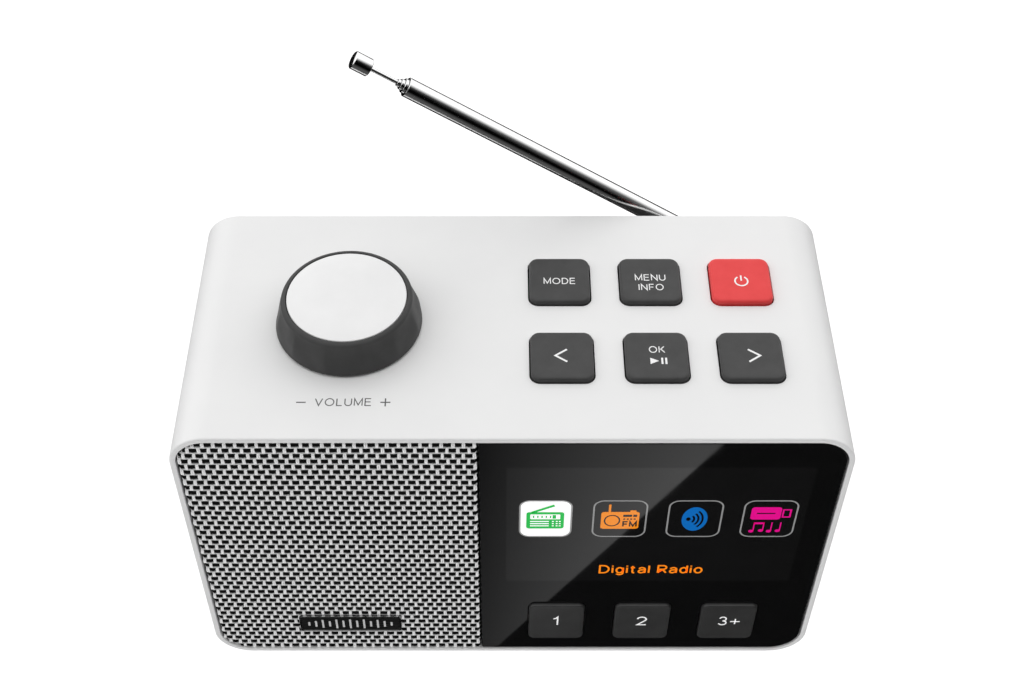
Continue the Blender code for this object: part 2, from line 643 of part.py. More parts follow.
def make_turret():
    """The swivel: a disc on the rear panel, a retained shaft through it and two ears with a pin."""
    face = REAR_FACE_Y - PIVOT_Y
    shaft = ((0.0, face + 0.0042), (0.0062, face + 0.0042), (0.0068, face + 0.0034), (0.0068, face + 0.0004),
             (0.0036, face + 0.0004), (0.0036, face - 0.0029), (0.0048, face - 0.0029), (0.0040, face - 0.0044),
             (0.0, face - 0.0044))
    turret = turned("antenna_turret", shaft, "Y", BLACK, 20, **ON_PIVOT)
    for side in (-1, 1):
        low, high = sorted((side * EAR_INNER, side * EAR_OUTER))
        outline = round_ended(EAR_RADIUS, face + 0.0038, 0.0)
        add(turret, prism("add_ear", outline, low, high, "Z", BLACK, **ON_PIVOT))
    hole(turret, "cut_ears", (0.0, 0.0), PIN_HOLE_RADIUS, -0.006, 0.006, "Z", 16)
    pin = ((0.0, -0.0043), (0.0017, -0.0043), (0.0017, -0.0038), (PIN_RADIUS, -0.0038),
           (PIN_RADIUS, 0.0038), (0.0017, 0.0038), (0.0017, 0.0043), (0.0, 0.0043))
    turned("antenna_hinge_pin", pin, "Z", STEEL, 16, **ON_PIVOT)


def make_knuckle():
    """The flat tongue between the ears and the plug that holds the first tube."""
    start = SECTIONS[0][1]
    outline = [(y, x) for x, y in round_ended(0.0027, -0.0050, 0.0)]
    tongue = prism("antenna_knuckle", [(-x, y) for x, y in outline], -TONGUE_HALF, TONGUE_HALF, "Z", CHROME,
                   **ON_PIVOT)
    plug = ((0.0, 0.0044), (0.00265, 0.0044), (0.00265, start - 0.0003), (0.0020, start - 0.0003),
            (0.0020, start + 0.0014), (0.0, start + 0.0014))
    add(tongue, turned("add_plug", plug, "X", CHROME, 16, **ON_PIVOT))
    hole(tongue, "cut_tongue", (0.0, 0.0), PIN_HOLE_RADIUS, -0.006, 0.006, "Z", 16)


def make_sections():
    """Four tubes, each inside the last, then the rod and its tip; all slide along the antenna."""
    for number, (name, start, outer, inner) in enumerate(SECTIONS):
        end = TUBE_END + SECTION_STEP * number
        profile = ((inner, start), (outer, start), (outer, end - 0.0004), (outer - 0.0001, end), (inner, end))
        turned(name, profile, "X", CHROME, 16, closed=True, **ON_PIVOT)
    rod = ((0.0, ROD_START), (ROD_RADIUS, ROD_START), (ROD_RADIUS, TIP_START + 0.0020), (0.0, TIP_START + 0.0020))
    turned("antenna_rod", rod, "X", CHROME, 12, **ON_PIVOT)
    tip_end = TIP_START + TIP_LENGTH
    edge = 0.0002
    tip = ((0.0, TIP_START + 0.0023), (0.0009, TIP_START + 0.0023), (0.0009, TIP_START),
           (TIP_RADIUS - edge, TIP_START), (TIP_RADIUS, TIP_START + edge), (TIP_RADIUS, tip_end - edge),
           (TIP_RADIUS - edge, tip_end), (0.0, tip_end))
    turned("antenna_tip", tip, "X", CHROME, 20, **ON_PIVOT)


make_turret()
make_knuckle()
make_sections()
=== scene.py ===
import json
import math
import random

import bmesh
import bpy
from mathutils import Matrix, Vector


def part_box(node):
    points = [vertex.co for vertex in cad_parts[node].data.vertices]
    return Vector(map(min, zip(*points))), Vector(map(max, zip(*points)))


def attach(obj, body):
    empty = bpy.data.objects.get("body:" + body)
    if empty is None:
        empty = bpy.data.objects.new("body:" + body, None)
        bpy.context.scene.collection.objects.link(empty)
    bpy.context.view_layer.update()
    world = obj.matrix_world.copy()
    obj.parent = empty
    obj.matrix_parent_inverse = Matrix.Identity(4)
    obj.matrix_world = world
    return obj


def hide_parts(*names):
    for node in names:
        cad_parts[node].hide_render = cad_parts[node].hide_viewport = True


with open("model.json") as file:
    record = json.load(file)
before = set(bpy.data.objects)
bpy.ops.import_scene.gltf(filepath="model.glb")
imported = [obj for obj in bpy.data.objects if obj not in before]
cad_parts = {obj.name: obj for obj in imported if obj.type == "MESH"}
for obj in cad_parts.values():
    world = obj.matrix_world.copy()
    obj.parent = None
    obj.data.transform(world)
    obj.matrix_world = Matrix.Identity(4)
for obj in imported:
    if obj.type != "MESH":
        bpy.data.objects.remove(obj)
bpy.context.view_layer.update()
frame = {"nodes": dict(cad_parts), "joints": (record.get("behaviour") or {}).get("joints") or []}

MM = 0.001

# ---------------------------------------------------------------- camera
# A tall three-quarter product view: the lens looks down on the top and the front together,
# square to the cabinet, a little left of its middle.


def linked(name, data):
    """A new object of the scene."""
    made = bpy.data.objects.new(name, data)
    bpy.context.scene.collection.objects.link(made)
    return made


sleeve_low, sleeve_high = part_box("cabinet_sleeve")
front = sleeve_low.y
back = sleeve_high.y
base = sleeve_low.z
top = sleeve_high.z

camera_data = bpy.data.cameras.new("camera")
camera_data.lens = 53.95
camera_data.sensor_width = 36.0
camera_data.shift_x = 0.0096
camera_data.clip_start = 0.01
camera = linked("camera", camera_data)
camera.location = (-2.98 * MM, front - 227.6 * MM, base + 395.3 * MM)
camera.rotation_euler = (math.radians(90.0 - 48.917), 0.0, 0.0)
bpy.context.scene.camera = camera
bpy.context.scene.view_settings.view_transform = "Standard"


# ---------------------------------------------------------------- studio
# A white table under a white tent that leans away from the camera, so the top is lit more than the
# front. The table gives no mirror image, so polished faces that look down stay dark.


class Shade:
    """One socket of a node tree. Arithmetic adds Math nodes, and node() adds any other node."""

    def __init__(self, tree, socket=None):
        self.tree = tree
        self.socket = socket

    def node(self, kind, settings=None, values=None, output=0):
        made = self.tree.nodes.new(kind)
        for name, value in (settings or {}).items():
            if name == "stops":
                for _ in value[2:]:
                    made.color_ramp.elements.new(0.5)
                for element, (place, colour) in zip(made.color_ramp.elements, value):
                    element.position = place
                    element.color = colour
            else:
                setattr(made, name, value)
        for key, value in (values or {}).items():
            if isinstance(value, Shade):
                self.tree.links.new(value.socket, made.inputs[key])
            else:
                made.inputs[key].default_value = value
        return Shade(self.tree, made.outputs[output] if made.outputs else None)

    def maths(self, operation, first, second):
        return self.node("ShaderNodeMath", {"operation": operation}, {0: first, 1: second})

    def __add__(self, other):
        return self.maths("ADD", self, other)

    def __sub__(self, other):
        return self.maths("SUBTRACT", self, other)

    def __mul__(self, other):
        return self.maths("MULTIPLY", self, other)

    def __truediv__(self, other):
        return self.maths("DIVIDE", self, other)

    def mapped(self, first, last, low, high, smooth=False):
        """Clamp and scale from the first range to the second."""
        kind = {"interpolation_type": "SMOOTHSTEP" if smooth else "LINEAR"}
        return self.node("ShaderNodeMapRange", kind, {0: self, 1: first, 2: last, 3: low, 4: high})


def grey(level):
    """A neutral linear colour from a display level of 0 to 255."""
    share = level / 255
    linear = share / 12.92 if share <= 0.04045 else ((share + 0.055) / 1.055) ** 2.4
    return (linear, linear, linear, 1.0)


def tint(red, green, blue):
    """A linear colour from display levels of 0 to 255."""
    return (grey(red)[0], grey(green)[0], grey(blue)[0], 1.0)


def glowing(name, strength_at):
    """A studio material that only glows; strength_at(x, y, z) gives its strength at a point."""
    material = bpy.data.materials.new(name)
    material.use_nodes = True
    material.node_tree.nodes.clear()
    shade = Shade(material.node_tree)
    point = shade.node("ShaderNodeTexCoord", output=3)
    place = [shade.node("ShaderNodeSeparateXYZ", values={0: point}, output=axis) for axis in range(3)]
    glow = shade.node("ShaderNodeEmission", values={"Strength": strength_at(*place)})
    shade.node("ShaderNodeOutputMaterial", values={"Surface": glow})
    return material


def surface(name, colour, roughness, bump=None, **constants):
    """A Principled material. Colour and roughness may be patterns; bump is (pattern, strength, depth)."""
    material = bpy.data.materials.new(name)
    material.use_nodes = True
    shader = material.node_tree.nodes["Principled BSDF"]
    for key, value in (("Base Color", colour), ("Roughness", roughness)):
        if callable(value):
            value = value(Shade(material.node_tree))
        if isinstance(value, Shade):
            material.node_tree.links.new(value.socket, shader.inputs[key])
        else:
            shader.inputs[key].default_value = value
    if bump:
        pattern, strength, depth = bump
        shade = Shade(material.node_tree)
        bumped = shade.node("ShaderNodeBump", values={"Strength": strength, "Distance": depth,
                                                      "Height": pattern(shade)})
        material.node_tree.links.new(bumped.socket, shader.inputs["Normal"])
    for key, value in constants.items():
        shader.inputs[key.replace("_", " ")].default_value = value
    return material


def new_mesh(name, build):
    """A mesh from a bmesh, which is then freed."""
    mesh = bpy.data.meshes.new(name)
    build.to_mesh(mesh)
    build.free()
    return mesh


def staged(name, mesh, material, seen=None):
    """Add a mesh to the studio; seen names the only kind of ray that meets it."""
    mesh.materials.append(material)
    piece = linked(name, mesh)
    if seen:
        for kind in ("camera", "diffuse", "glossy", "transmission", "shadow"):
            setattr(piece, "visible_" + kind, kind == seen)
    return piece


def panel(name, corners, material, seen=None):
    """A flat panel of the studio from its corner points."""
    mesh = bpy.data.meshes.new(name)
    mesh.from_pydata(corners, [], [tuple(range(len(corners)))])
    return staged(name, mesh, material, seen)


TENT_AXIS = Vector((-0.22, 0.60, 0.77)).normalized()
TENT_STRENGTH = 1.205
SIDE_STRENGTH = 0.15
world = bpy.data.worlds.new("tent")
world.use_nodes = True
world.node_tree.nodes.clear()
sky = Shade(world.node_tree)
direction = sky.node("ShaderNodeTexCoord", output=0)
right, rearward, upward = [sky.node("ShaderNodeSeparateXYZ", values={0: direction}, output=axis)
                           for axis in range(3)]
facing = right * TENT_AXIS.x + rearward * TENT_AXIS.y + upward * TENT_AXIS.z
above = upward.mapped(-0.02, 0.06, 0.0, 1.0)
tent = facing.mapped(-0.15, 0.42, 0.0, TENT_STRENGTH, smooth=True) * above
sides = (right * right).mapped(0.25, 0.85, 0.0, SIDE_STRENGTH, smooth=True) * above
glow = sky.node("ShaderNodeBackground", values={"Color": tent + sides})
sky.node("ShaderNodeOutputWorld", values={"Surface": glow})
bpy.context.scene.world = world

TABLE_REACH = 3.0
table_white = surface("table_white", (0.25, 0.25, 0.25, 1.0), 1.0, Specular_IOR_Level=0.0,
                      Emission_Color=(1.0, 1.0, 1.0, 1.0), Emission_Strength=0.94)
table = panel("table", [(x * TABLE_REACH, y * TABLE_REACH, 0.0)
                        for x, y in ((-1, -1), (1, -1), (1, 1), (-1, 1))], table_white)
table.visible_glossy = False

# A white dome that only the camera sees stands behind everything.
DOME_RADIUS = 5.0
dome = bmesh.new()
bmesh.ops.create_icosphere(dome, subdivisions=3, radius=DOME_RADIUS)
staged("white_dome", new_mesh("white_dome", dome), glowing("dome_white", lambda x, y, z: 1.0), seen="camera")

# A dark flag over the cabinet's back edge, before the antenna, keeps the white roof out of its chrome.
joint = {each["name"]: each for each in frame["joints"]}
pivot = Vector(joint["antenna_tilt"]["pos_m"])
run = Vector(joint["antenna_slide_2"]["axis"]).normalized()
rear = Vector((0.0, 1.0, 0.0))
hinge = run.cross(rear)
flag_y = back + 0.5 * MM
FLAG_LOW = -10 * MM
FLAG_HIGH = 3 * MM
FLAG_END = 150 * MM
axis_level = pivot.dot(-hinge)


def flag_corner(height, distance=None):
    """A corner of the flag, height above the antenna's axis; it lies on the roof if no distance is given."""
    beside = pivot + run * (distance or (top - pivot.z - height) / run.z)
    return (beside.x, flag_y, beside.z + height)


def flag_strength(x, y, z):
    """Black beside the antenna's axis, then a dark grey below it."""
    return (x * -hinge.x + z * -hinge.z).mapped(axis_level + 0.8 * MM, axis_level - 1.6 * MM, 0.0, 0.080)


flag_corners = [flag_corner(FLAG_HIGH), flag_corner(FLAG_HIGH, FLAG_END),
                flag_corner(FLAG_LOW, FLAG_END), flag_corner(FLAG_LOW)]
panel("dark_flag", flag_corners, glowing("flag_dark", flag_strength), seen="glossy")

# A card that only the window's polish mirrors: its edge makes the slanting glare line.
CARD_DEPTH = 60 * MM
CARD_SPOTS = ((51.8, 99.2), (-3.9, 1.9), (-26.0, 1.9), (-26.0, 99.2))
mirrored_eye = Vector((camera.location.x, 2 * front - camera.location.y, camera.location.z))


def mirrored_spot(x, z):
    """Where the camera, mirrored in the window's face, sees the card plane through a window point."""
    ray = Vector((x * MM, front, base + z * MM)) - mirrored_eye
    return tuple(mirrored_eye + ray * ((-CARD_DEPTH - mirrored_eye.z) / ray.z))


def card_strength(x, y, z):
    """Brighter to the right of the window, and a little brighter towards its foot."""
    stretch = (y * -1.0 + mirrored_eye.y) / (mirrored_eye.y - front)
    place = (x - mirrored_eye.x) / stretch + mirrored_eye.x
    return place.mapped(-8 * MM, 55 * MM, 0.06, 0.90) + stretch.mapped(1.53, 1.17, 0.0, 0.12)


card_corners = [mirrored_spot(x, z) for x, z in CARD_SPOTS]
panel("glare_card", card_corners, glowing("glare_card", card_strength), seen="glossy")


# ---------------------------------------------------------------- cabinet sleeve
# One injection-moulded shell in white satin plastic, open at the front and back. The keys and the
# knob's bushing come up through its roof, and the volume legend is printed on it in grey.


def grain(size, detail=2.0, stretch=(1.0, 1.0, 1.0)):
    """A noise pattern with features of about size metres; stretch squeezes it along X, Y and Z."""
    def pattern(shade):
        point = shade.node("ShaderNodeTexCoord", output=3)
        squeezed = shade.node("ShaderNodeMapping", values={"Vector": point, "Scale": stretch})
        return shade.node("ShaderNodeTexNoise", values={"Vector": squeezed, "Scale": 1.0 / size,
                                                        "Detail": detail, "Roughness": 0.55})
    return pattern


def between(low, high, pattern):
    """A value that wanders from low to high with a pattern."""
    return lambda shade: pattern(shade).mapped(0.3, 0.7, low, high)


def mottled(first, second, pattern):
    """A colour that wanders between two with a pattern."""
    def value(shade):
        share = pattern(shade).mapped(0.3, 0.7, 0.0, 1.0)
        return shade.node("ShaderNodeMix", {"data_type": "RGBA"}, {0: share, 6: first, 7: second}, output=2)
    return value


def add_piece(name, mesh, material, body, slot, *nodes, smooth=35.0, even=False):
    """Link a mesh that is already in place, shade it, hang it on its body and hide the CAD nodes it
    replaces.

    even keeps the shading of its large faces free of the small ones beside them."""
    mesh.materials.append(material)
    mesh.shade_smooth()
    mesh.set_sharp_from_angle(angle=math.radians(smooth))
    piece = linked(name, mesh)
    if even:
        weighted = piece.modifiers.new("even_shading", "WEIGHTED_NORMAL")
        weighted.keep_sharp = True
        weighted.weight = 100
    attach(piece, body)
    if nodes:
        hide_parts(*nodes)
    return piece


def rows_mesh(name, *bundles, closed=False):
    """Skin bundles of rows of points, each row a closed ring; a row of one point is a pole."""
    build = bmesh.new()
    for rows in bundles:
        made = [[build.verts.new(point) for point in row] for row in rows]
        pairs = list(zip(made, made[1:])) + ([(made[-1], made[0])] if closed else [])
        for low, high in pairs:
            count = max(len(low), len(high))
            for index in range(count):
                following = (index + 1) % count
                corners = (low[index % len(low)], low[following % len(low)],
                           high[following % len(high)], high[index % len(high)])
                build.faces.new(tuple(dict.fromkeys(corners)))
        if not closed:
            for row in (made[0], made[-1]):
                if len(row) > 1:
                    build.faces.new(row)
    bmesh.ops.recalc_face_normals(build, faces=build.faces)
    return new_mesh(name, build)


def add_rows(name, rows, material, body, slot, *nodes, closed=False, **shading):
    """A piece skinned from rows of points."""
    return add_piece(name, rows_mesh(name, rows, closed=closed), material, body, slot, *nodes, **shading)


def rounded(low, high, radii, steps=8):
    """A rectangle's outline with rounded corners, from the low right corner anticlockwise."""
    if not isinstance(radii, tuple):
        radii = (radii,) * 4
    corners = ((high[0], low[1], 1, -1), (high[0], high[1], 1, 1),
               (low[0], high[1], -1, 1), (low[0], low[1], -1, -1))
    outline = []
    for quarter, ((x, y, side_x, side_y), radius) in enumerate(zip(corners, radii)):
        for step in range(steps + 1):
            angle = math.pi / 2 * (quarter - 1 + step / steps)
            outline.append((x - side_x * radius + radius * math.cos(angle),
                            y - side_y * radius + radius * math.sin(angle)))
    return outline


def fillet(radius, steps=4):
    """(inset, height) pairs of a quarter-round edge, from the side up to the top."""
    angles = [math.pi / 2 * step / steps for step in range(steps + 1)]
    return [(radius * (1 - math.cos(angle)), radius * math.sin(angle)) for angle in angles]


def evaluated(piece):
    """A new mesh of an object with its modifiers applied."""
    bpy.context.view_layer.update()
    graph = bpy.context.evaluated_depsgraph_get()
    return bpy.data.meshes.new_from_object(piece.evaluated_get(graph))


def middle_of(node):
    """The middle of a node's box."""
    low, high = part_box(node)
    return (low + high) / 2


def about(x, y, half_x, half_y, radius, steps=8):
    """A rounded rectangle about a middle point."""
    return rounded((x - half_x, y - half_y), (x + half_x, y + half_y), radius, steps)


def loop_disc(x, y, radius, steps=28, high=None):
    """A round or oval loop."""
    angles = [math.tau * step / steps for step in range(steps)]
    return [(x + radius * math.cos(angle), y + (high or radius) * math.sin(angle)) for angle in angles]


def framed(low, high, radii, least=0.1 * MM, steps=12):
    """The outline of a box seen from the front, for any inset; no corner is tighter than least."""
    def outline_at(inset):
        corners = tuple(max(radius - inset, least) for radius in radii)
        return rounded((low.x + inset, low.z + inset), (high.x - inset, high.z - inset), corners, steps)
    return outline_at


def deep(outline_at, stations):
    """Rows from front to back, from the outline at each inset and (inset, y) pairs."""
    return [[(x, y, z) for x, z in outline_at(inset)] for inset, y in stations]


def prism(outline, levels, upright=False):
    """Rows of one outline at some levels along Y or, when upright, along Z."""
    return [[(a, b, level) if upright else (a, level, b) for a, b in outline] for level in levels]


def cut(name, mesh, tools, softened=None):
    """A mesh less some tools, each given by its rows; softened is (width, segments, angle)."""
    blank = linked(name, mesh)
    spares = [blank]
    for rows in tools:
        cutter = linked("hole_cutter", rows_mesh("hole_cutter", rows))
        boolean = blank.modifiers.new("hole", "BOOLEAN")
        boolean.operation = "DIFFERENCE"
        boolean.solver = "EXACT"
        boolean.object = cutter
        spares.append(cutter)
    if softened:
        soften = blank.modifiers.new("soften", "BEVEL")
        soften.width, soften.segments, degrees = softened
        soften.limit_method = "ANGLE"
        soften.angle_limit = math.radians(degrees)
    result = evaluated(blank)
    for spare in spares:
        bpy.data.objects.remove(spare)
    return result


SLEEVE_RADIUS = 10.0 * MM
SLEEVE_WALL = 1.5 * MM
RIM_ROUND = 0.55 * MM
RIM_INNER_ROUND = 0.2 * MM
KEY_HALF = 8.0 * MM
KEY_RADIUS = 2.4 * MM
KEY_GAP = 0.35 * MM
BUSHING_HOLE = 3.8 * MM
TOP_KEYS = {"key_mode": "mode_key", "key_menu": "menu_key", "key_power": "power_key",
            "key_previous": "previous_key", "key_ok": "ok_key", "key_next": "next_key"}

white_plastic = surface(
    "white_satin_plastic",
    mottled((0.815, 0.815, 0.815, 1.0), (0.835, 0.835, 0.833, 1.0), grain(18 * MM, 3.0)),
    between(0.36, 0.44, grain(6 * MM, 4.0)),
    bump=(grain(0.22 * MM, 2.0), 0.05, 0.05 * MM),
    Specular_IOR_Level=0.45)

outer_edge = fillet(RIM_ROUND, 5)
inner_edge = fillet(RIM_INNER_ROUND, 3)
stations = [(inset, front + RIM_ROUND - up) for inset, up in reversed(outer_edge)]
stations += [(inset, back - RIM_ROUND + up) for inset, up in outer_edge]
stations += [(SLEEVE_WALL - inset, back - RIM_INNER_ROUND + up) for inset, up in reversed(inner_edge)]
stations += [(SLEEVE_WALL - inset, front + RIM_INNER_ROUND - up) for inset, up in inner_edge]
sleeve_outline = framed(sleeve_low, sleeve_high, (SLEEVE_RADIUS,) * 4, steps=14)
sleeve_mesh = rows_mesh("sleeve_shell", deep(sleeve_outline, stations), closed=True)
knob = middle_of("encoder_shaft")
through_roof = (top - 4 * MM, top + 4 * MM)
tools = []
for name in TOP_KEYS:
    middle = middle_of(name)
    outline = about(middle.x, middle.y, KEY_HALF + KEY_GAP, KEY_HALF + KEY_GAP, KEY_RADIUS + KEY_GAP)
    tools.append(prism(outline, through_roof, upright=True))
tools.append(prism(loop_disc(knob.x, knob.y, BUSHING_HOLE, 32), through_roof, upright=True))
add_piece("sleeve", cut("sleeve_shell", sleeve_mesh, tools, (0.22 * MM, 3, 50)), white_plastic, "root",
          "white_sleeve", "cabinet_sleeve", smooth=40.0, even=True)

INK = 0.012 * MM


def glyph(groups):
    """The flat mesh of groups of loops in millimetres; the inner loops of a group are its holes."""
    build = bmesh.new()
    for loops in groups:
        curve = bpy.data.curves.new("glyph", "CURVE")
        curve.dimensions = "2D"
        curve.fill_mode = "BOTH"
        curve.extrude = 0.001
        for loop in loops:
            spline = curve.splines.new("POLY")
            spline.points.add(len(loop) - 1)
            for point, (x, y) in zip(spline.points, loop):
                point.co = (x, y, 0.0, 1.0)
            spline.use_cyclic_u = True
        holder = linked("glyph", curve)
        build.from_mesh(evaluated(holder))
        bpy.data.objects.remove(holder)
    mesh = new_mesh("glyph", build)
    for v in mesh.vertices:
        v.co.z = 0.5 + math.copysign(0.5, v.co.z)
    return mesh


def printed(name, mesh, centre, face, material, body, slot, level, lift=0.0, layer=INK):
    """Lay a flat mesh in millimetres on the top, front or back; level is where that face lies."""
    for v in mesh.vertices:
        across, up, out = v.co.x * MM, v.co.y * MM + centre[1], lift + v.co.z * layer
        v.co = {"top": (centre[0] + across, up, level + out), "front": (centre[0] + across, level - out, up),
                "back": (centre[0] - across, level + out, up)}[face]
    clean = bmesh.new()
    clean.from_mesh(mesh)
    bmesh.ops.remove_doubles(clean, verts=clean.verts, dist=1e-7)
    bmesh.ops.recalc_face_normals(clean, faces=clean.faces)
    clean.to_mesh(mesh)
    clean.free()
    return add_piece(name, mesh, material, body, slot, smooth=20.0)


def loop_box(x0, y0, x1, y1, radius=0.0, steps=5):
    """A rectangular loop, with rounded corners where a radius is given."""
    if not radius:
        return [(x1, y0), (x1, y1), (x0, y1), (x0, y0)]
    return rounded((x0, y0), (x1, y1), radius, steps)


def stroke(points, width):
    """The loops round a bent line of some width: one if it has two ends, two if it closes on itself."""
    closed = math.dist(points[0], points[-1]) < 1e-6
    if closed:
        points = points[:-1]
    count = len(points)
    sides = ([], [])
    for index, point in enumerate(points):
        here = Vector(point)
        before = Vector(points[index - 1]) if index or closed else None
        after = Vector(points[(index + 1) % count]) if index < count - 1 or closed else None
        first = (here - before).normalized() if before else (after - here).normalized()
        second = (after - here).normalized() if after else first
        run_on = (first + second).normalized()
        normal = Vector((-run_on.y, run_on.x)) * (width / 2 / max(run_on.dot(first), 0.3))
        sides[0].append(tuple(here + normal))
        sides[1].append(tuple(here - normal))
    return [sides[0], sides[1]] if closed else [sides[0] + sides[1][::-1]]


def bend(x, y, across, up, start, end, steps=10):
    """Points along part of an oval, with angles in degrees."""
    angles = [math.radians(start + (end - start) * step / steps) for step in range(steps + 1)]
    return [(x + across * math.cos(angle), y + up * math.sin(angle)) for angle in angles]


# Plain letters and figures as lines: how wide each is, and its paths, with capitals one unit high.
LETTERS = {
    " ": (0.10, []),
    "+": (0.74, [[(0, 0.42), (0.74, 0.42)], [(0.37, 0.08), (0.37, 0.76)]]),
    "1": (0.27, [[(0, 0.76), (0.15, 0.84), (0.27, 1), (0.27, 0)]]),
    "2": (0.58, [bend(0.29, 0.72, 0.28, 0.28, 175, -35, 14) + [(0.03, 0), (0.60, 0)]]),
    "3": (0.56, [bend(0.27, 0.75, 0.25, 0.25, 165, -90, 14), bend(0.27, 0.25, 0.29, 0.25, 90, -165, 14)]),
    "A": (0.76, [[(0, 0), (0.38, 1), (0.76, 0)], [(0.13, 0.33), (0.63, 0.33)]]),
    "C": (0.78, [bend(0.43, 0.5, 0.43, 0.5, 48, 312, 22)]),
    "D": (0.68, [[(0, 0), (0, 1)] + bend(0.28, 0.5, 0.40, 0.5, 90, -90, 14) + [(0, 0)]]),
    "E": (0.58, [[(0.58, 1), (0, 1), (0, 0), (0.60, 0)], [(0, 0.53), (0.54, 0.53)]]),
    "F": (0.54, [[(0.54, 1), (0, 1), (0, 0)], [(0, 0.50), (0.48, 0.50)]]),
    "I": (0.0, [[(0, 0), (0, 1)]]),
    "K": (0.64, [[(0, 0), (0, 1)], [(0.60, 1), (0, 0.36)], [(0.21, 0.57), (0.64, 0)]]),
    "L": (0.52, [[(0, 1), (0, 0), (0.52, 0)]]),
    "M": (0.78, [[(0, 0), (0, 1), (0.39, 0.10), (0.78, 1), (0.78, 0)]]),
    "N": (0.68, [[(0, 0), (0, 1), (0.68, 0), (0.68, 1)]]),
    "O": (0.86, [bend(0.43, 0.5, 0.43, 0.5, 90, 450, 28)]),
    "R": (0.62, [[(0, 0), (0, 1)] + bend(0.38, 0.745, 0.24, 0.255, 90, -90, 10) + [(0, 0.49)],
                 [(0.34, 0.49), (0.62, 0)]]),
    "U": (0.66, [[(0, 1)] + bend(0.33, 0.34, 0.33, 0.34, 180, 360, 14) + [(0.66, 1)]]),
    "V": (0.72, [[(0, 1), (0.36, 0), (0.72, 1)]]),
    "X": (0.70, [[(0, 0), (0.70, 1)], [(0, 1), (0.70, 0)]]),
    "a": (0.48, [bend(0.25, 0.50, 0.23, 0.22, 165, 0, 10) + [(0.48, 0)],
                 [(0.48, 0.42)] + bend(0.20, 0.20, 0.20, 0.20, 92, 280, 10) + [(0.48, 0.16)]]),
    "d": (0.50, [bend(0.25, 0.36, 0.25, 0.36, 0, 360, 22), [(0.5, 1), (0.5, 0)]]),
    "g": (0.50, [bend(0.25, 0.36, 0.25, 0.36, 0, 360, 22),
                 [(0.5, 0.72)] + bend(0.25, -0.04, 0.25, 0.22, 0, -155, 8)]),
    "i": (0.0, [[(0, 0), (0, 0.72)], [(0, 0.88), (0, 1)]]),
    "l": (0.0, [[(0, 0), (0, 1)]]),
    "o": (0.54, [bend(0.27, 0.36, 0.27, 0.36, 0, 360, 22)]),
    "t": (0.30, [[(0.12, 0.94)] + bend(0.27, 0.16, 0.15, 0.16, 180, 275, 6), [(-0.02, 0.72), (0.30, 0.72)]]),
}
LETTER_GAP = 0.30


def words(text, wide, high, weight=0.12):
    """The flat mesh of some words in millimetres, on a base line at 0 and about its own middle."""
    groups, pen = [], 0.0
    for letter in text:
        width, paths = LETTERS[letter]
        for path in paths:
            groups.append(stroke([(x + pen, weight / 2 + y * (1 - weight)) for x, y in path], weight))
        pen += width + LETTER_GAP
    mesh = glyph(groups)
    reach = pen - LETTER_GAP
    for v in mesh.vertices:
        v.co.x = (v.co.x - reach / 2) * wide / (reach + weight)
        v.co.y *= high
    return mesh


legend_grey = surface("legend_grey_ink", mottled(grey(78), grey(92), grain(0.3 * MM)), 0.5)

printed("legend_volume", words("VOLUME", 14.1, 2.5, 0.115), (-41.95 * MM, front + 10.5 * MM), "top",
        legend_grey, "root", "white_sleeve", top)
signs = glyph([[loop_box(-53.6, 11.5, -51.2, 11.85)], [loop_box(-32.7, 11.5, -30.2, 11.85)],
               [loop_box(-31.62, 11.86, -31.28, 12.95)], [loop_box(-31.62, 10.4, -31.28, 11.49)]])
printed("legend_less_more", signs, (0.0, front), "top", legend_grey, "root", "white_sleeve", top)


# ---------------------------------------------------------------- top keys
# Six square keys moulded in dark grey, the power key in red, with soft matt faces and rounded
# top edges. Each is a loose cap over a tact switch; its mark is printed on it in white.


def key_plastic(name, first, second, rough, grain_depth=0.12, specular=0.35):
    """Moulded plastic with a fine matt grain; its roughness wanders up from rough."""
    return surface(name, mottled(first, second, grain(5 * MM, 3.0)),
                   between(rough, rough + 0.08, grain(3 * MM, 3.0)),
                   bump=(grain(0.16 * MM, 2.0), grain_depth, 0.04 * MM), Specular_IOR_Level=specular)


key_grey = key_plastic("soft_grey_plastic", grey(59), grey(66), 0.46)
key_red = key_plastic("soft_red_plastic", tint(226, 60, 61), tint(232, 67, 68), 0.42, 0.10)
ink_white = surface("white_ink", mottled(grey(236), grey(250), grain(0.4 * MM)), 0.45)

KEY_FILLET = 0.85 * MM
KEY_SINK = 2.2 * MM


def key_mesh(name, half_x, half_y, radius, proud, edge, place, lean=1.0):
    """A key's cap from under the panel to its slightly dished top; a small lean makes its edge steep."""
    stations = [(0.0, -KEY_SINK), (0.0, -KEY_SINK / 2)]
    stations += [(inset * lean, proud - edge + up) for inset, up in fillet(edge, 6)]
    stations += [(edge + 0.9 * MM, proud - 0.02 * MM), (half_x * 0.5, proud - 0.07 * MM)]
    rows = []
    for inset, rise in stations:
        corner = max(radius - inset, 0.25 * MM)
        outline = about(0.0, 0.0, half_x - inset, half_y - inset, corner, 7)
        rows.append([place(x, y, rise) for x, y in outline])
    rows.append([place(0.0, 0.0, proud - 0.09 * MM)])
    return rows_mesh(name, rows)


def top_place(node):
    """Local key coordinates to the roof of the cabinet, over a node's middle."""
    middle = middle_of(node)
    return lambda x, y, rise: (middle.x + x, middle.y + y, top + rise)


KEY_PROUD = 1.5 * MM
for name, body in TOP_KEYS.items():
    red = name == "key_power"
    mesh = key_mesh(name + "_cap", KEY_HALF, KEY_HALF, KEY_RADIUS, KEY_PROUD, KEY_FILLET, top_place(name))
    add_piece(name + "_cap", mesh, key_red if red else key_grey, body,
              "red_key" if red else "grey_keys", name)

MARK_SINK = 0.085 * MM
MARK_LAYER = 0.03 * MM


